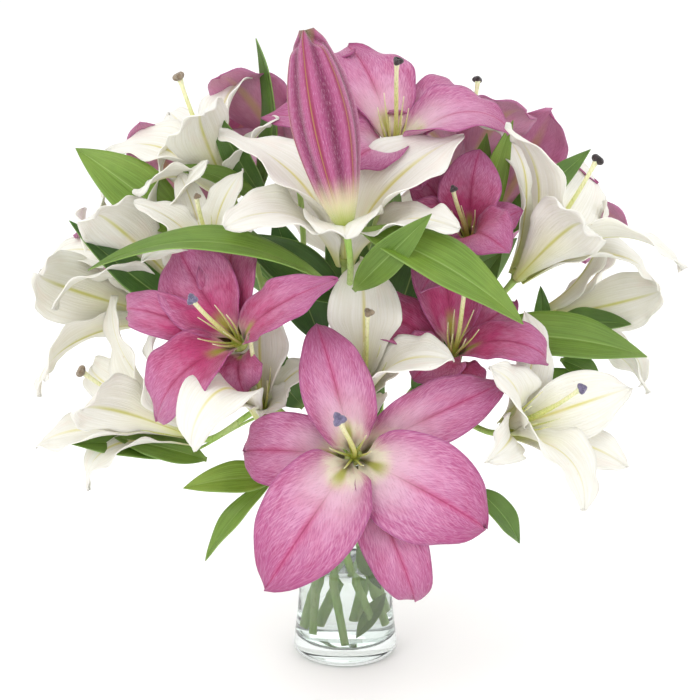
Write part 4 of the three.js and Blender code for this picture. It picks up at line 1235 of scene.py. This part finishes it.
class LILIES_OT_water(bpy.types.Operator):
    """Fill the vase with water up to its level"""

    bl_idname = "lilies.water"
    bl_label = "Water"

    def execute(self, context):
        build_water(context.scene.lilies)
        return {"FINISHED"}


class LILIES_OT_stems(bpy.types.Operator):
    """Stand the stems in the vase, each with the pedicels of the blooms it carries"""

    bl_idname = "lilies.stems"
    bl_label = "Stems"

    def execute(self, context):
        for row in STEMS:
            build_stem(row, context.scene.lilies)
        return {"FINISHED"}


class LILIES_OT_blooms(bpy.types.Operator):
    """Open the pink and the white lilies"""

    bl_idname = "lilies.blooms"
    bl_label = "Blooms"

    def execute(self, context):
        for bloom in BLOOMS:
            build_bloom(bloom, context.scene.lilies)
        return {"FINISHED"}


class LILIES_OT_pistils(bpy.types.Operator):
    """Set the styles, stigmas and filaments in the blooms that show them"""

    bl_idname = "lilies.pistils"
    bl_label = "Pistils"

    def execute(self, context):
        for bloom in BLOOMS:
            if bloom.stigma:
                build_pistil(bloom)
        return {"FINISHED"}


class LILIES_OT_bud(bpy.types.Operator):
    """Add the tall closed bud at the top"""

    bl_idname = "lilies.bud"
    bl_label = "Bud"

    def execute(self, context):
        build_bud(context.scene.lilies)
        return {"FINISHED"}


class LILIES_OT_leaves(bpy.types.Operator):
    """Lay the leaves between the blooms"""

    bl_idname = "lilies.leaves"
    bl_label = "Leaves"

    def execute(self, context):
        for row in LEAVES + FILLING_LEAVES:
            build_leaf(row, context.scene.lilies)
        return {"FINISHED"}


class LILIES_OT_stage(bpy.types.Operator):
    """Set up the floor, the soft lights and the camera"""

    bl_idname = "lilies.stage"
    bl_label = "Studio"

    def execute(self, context):
        scene, settings = context.scene, context.scene.lilies
        mesh = bmesh.new()
        bmesh.ops.create_circle(mesh, cap_ends=True, radius=settings.floor_radius, segments=96)
        data = bpy.data.meshes.new("studio_floor")
        mesh.to_mesh(data)
        mesh.free()
        data.materials.append(floor_finish(settings))
        floor = bpy.data.objects.new("studio_floor", data)
        scene.collection.objects.link(floor)

        world = bpy.data.worlds.new("studio")
        world.use_nodes = True
        sky = world.node_tree.nodes["Background"]
        sky.inputs[0].default_value = (1, 1, 1, 1)
        sky.inputs[1].default_value = settings.daylight
        scene.world = world

        for name, power, place, size in (
            ("main_light", settings.key_power, (-0.9, -1.3, 1.5), 1.1),
            ("fill_light", settings.fill_power, (1.4, -0.8, 0.9), 1.2),
            ("rim_light", settings.fill_power, (0.2, 1.4, 1.4), 1.2),
        ):
            light = bpy.data.lights.new(name, "AREA")
            light.shape = "DISK"
            light.energy = power
            light.size = size
            lamp = bpy.data.objects.new(name, light)
            lamp.location = place
            aim = LIGHTS_AIM - Vector(place)
            lamp.rotation_euler = aim.to_track_quat("-Z", "Y").to_euler()
            scene.collection.objects.link(lamp)

        lens = bpy.data.cameras.new("studio_camera")
        lens.sensor_width = 36
        lens.lens = CAMERA_LENS
        lens.clip_start, lens.clip_end = 0.01, 60
        camera = bpy.data.objects.new("studio_camera", lens)
        camera.location = CAMERA_AT
        camera.rotation_euler = (math.radians(90 - CAMERA_DIP), 0, 0)
        scene.collection.objects.link(camera)
        scene.camera = camera
        scene.view_settings.view_transform = "Standard"
        return {"FINISHED"}


OPERATORS = (
    LILIES_OT_vase,
    LILIES_OT_water,
    LILIES_OT_stems,
    LILIES_OT_blooms,
    LILIES_OT_pistils,
    LILIES_OT_bud,
    LILIES_OT_leaves,
    LILIES_OT_stage,
)


class LILIES_PT_panel(bpy.types.Panel):
    """The steps of the bunch, in the order in which they are made"""

    bl_label = "Lilies in a Vase"
    bl_idname = "LILIES_PT_panel"
    bl_space_type = "VIEW_3D"
    bl_region_type = "UI"
    bl_category = "Lilies"

    def draw(self, context):
        settings = context.scene.lilies
        for name in LILIES_PG_settings.__annotations__:
            self.layout.prop(settings, name)
        for operator in OPERATORS:
            self.layout.operator(operator.bl_idname)


CLASSES = (LILIES_PG_settings, *OPERATORS, LILIES_PT_panel)


def register():
    for cls in CLASSES:
        bpy.utils.register_class(cls)
    bpy.types.Scene.lilies = bpy.props.PointerProperty(type=LILIES_PG_settings)


def unregister():
    del bpy.types.Scene.lilies
    for cls in reversed(CLASSES):
        bpy.utils.unregister_class(cls)


def main():
    register()
    bpy.ops.lilies.vase()
    bpy.ops.lilies.water()
    bpy.ops.lilies.stems()
    bpy.ops.lilies.blooms()
    bpy.ops.lilies.pistils()
    bpy.ops.lilies.bud()
    bpy.ops.lilies.leaves()
    bpy.ops.lilies.stage()
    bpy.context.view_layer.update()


if __name__ == "__main__":
    main()
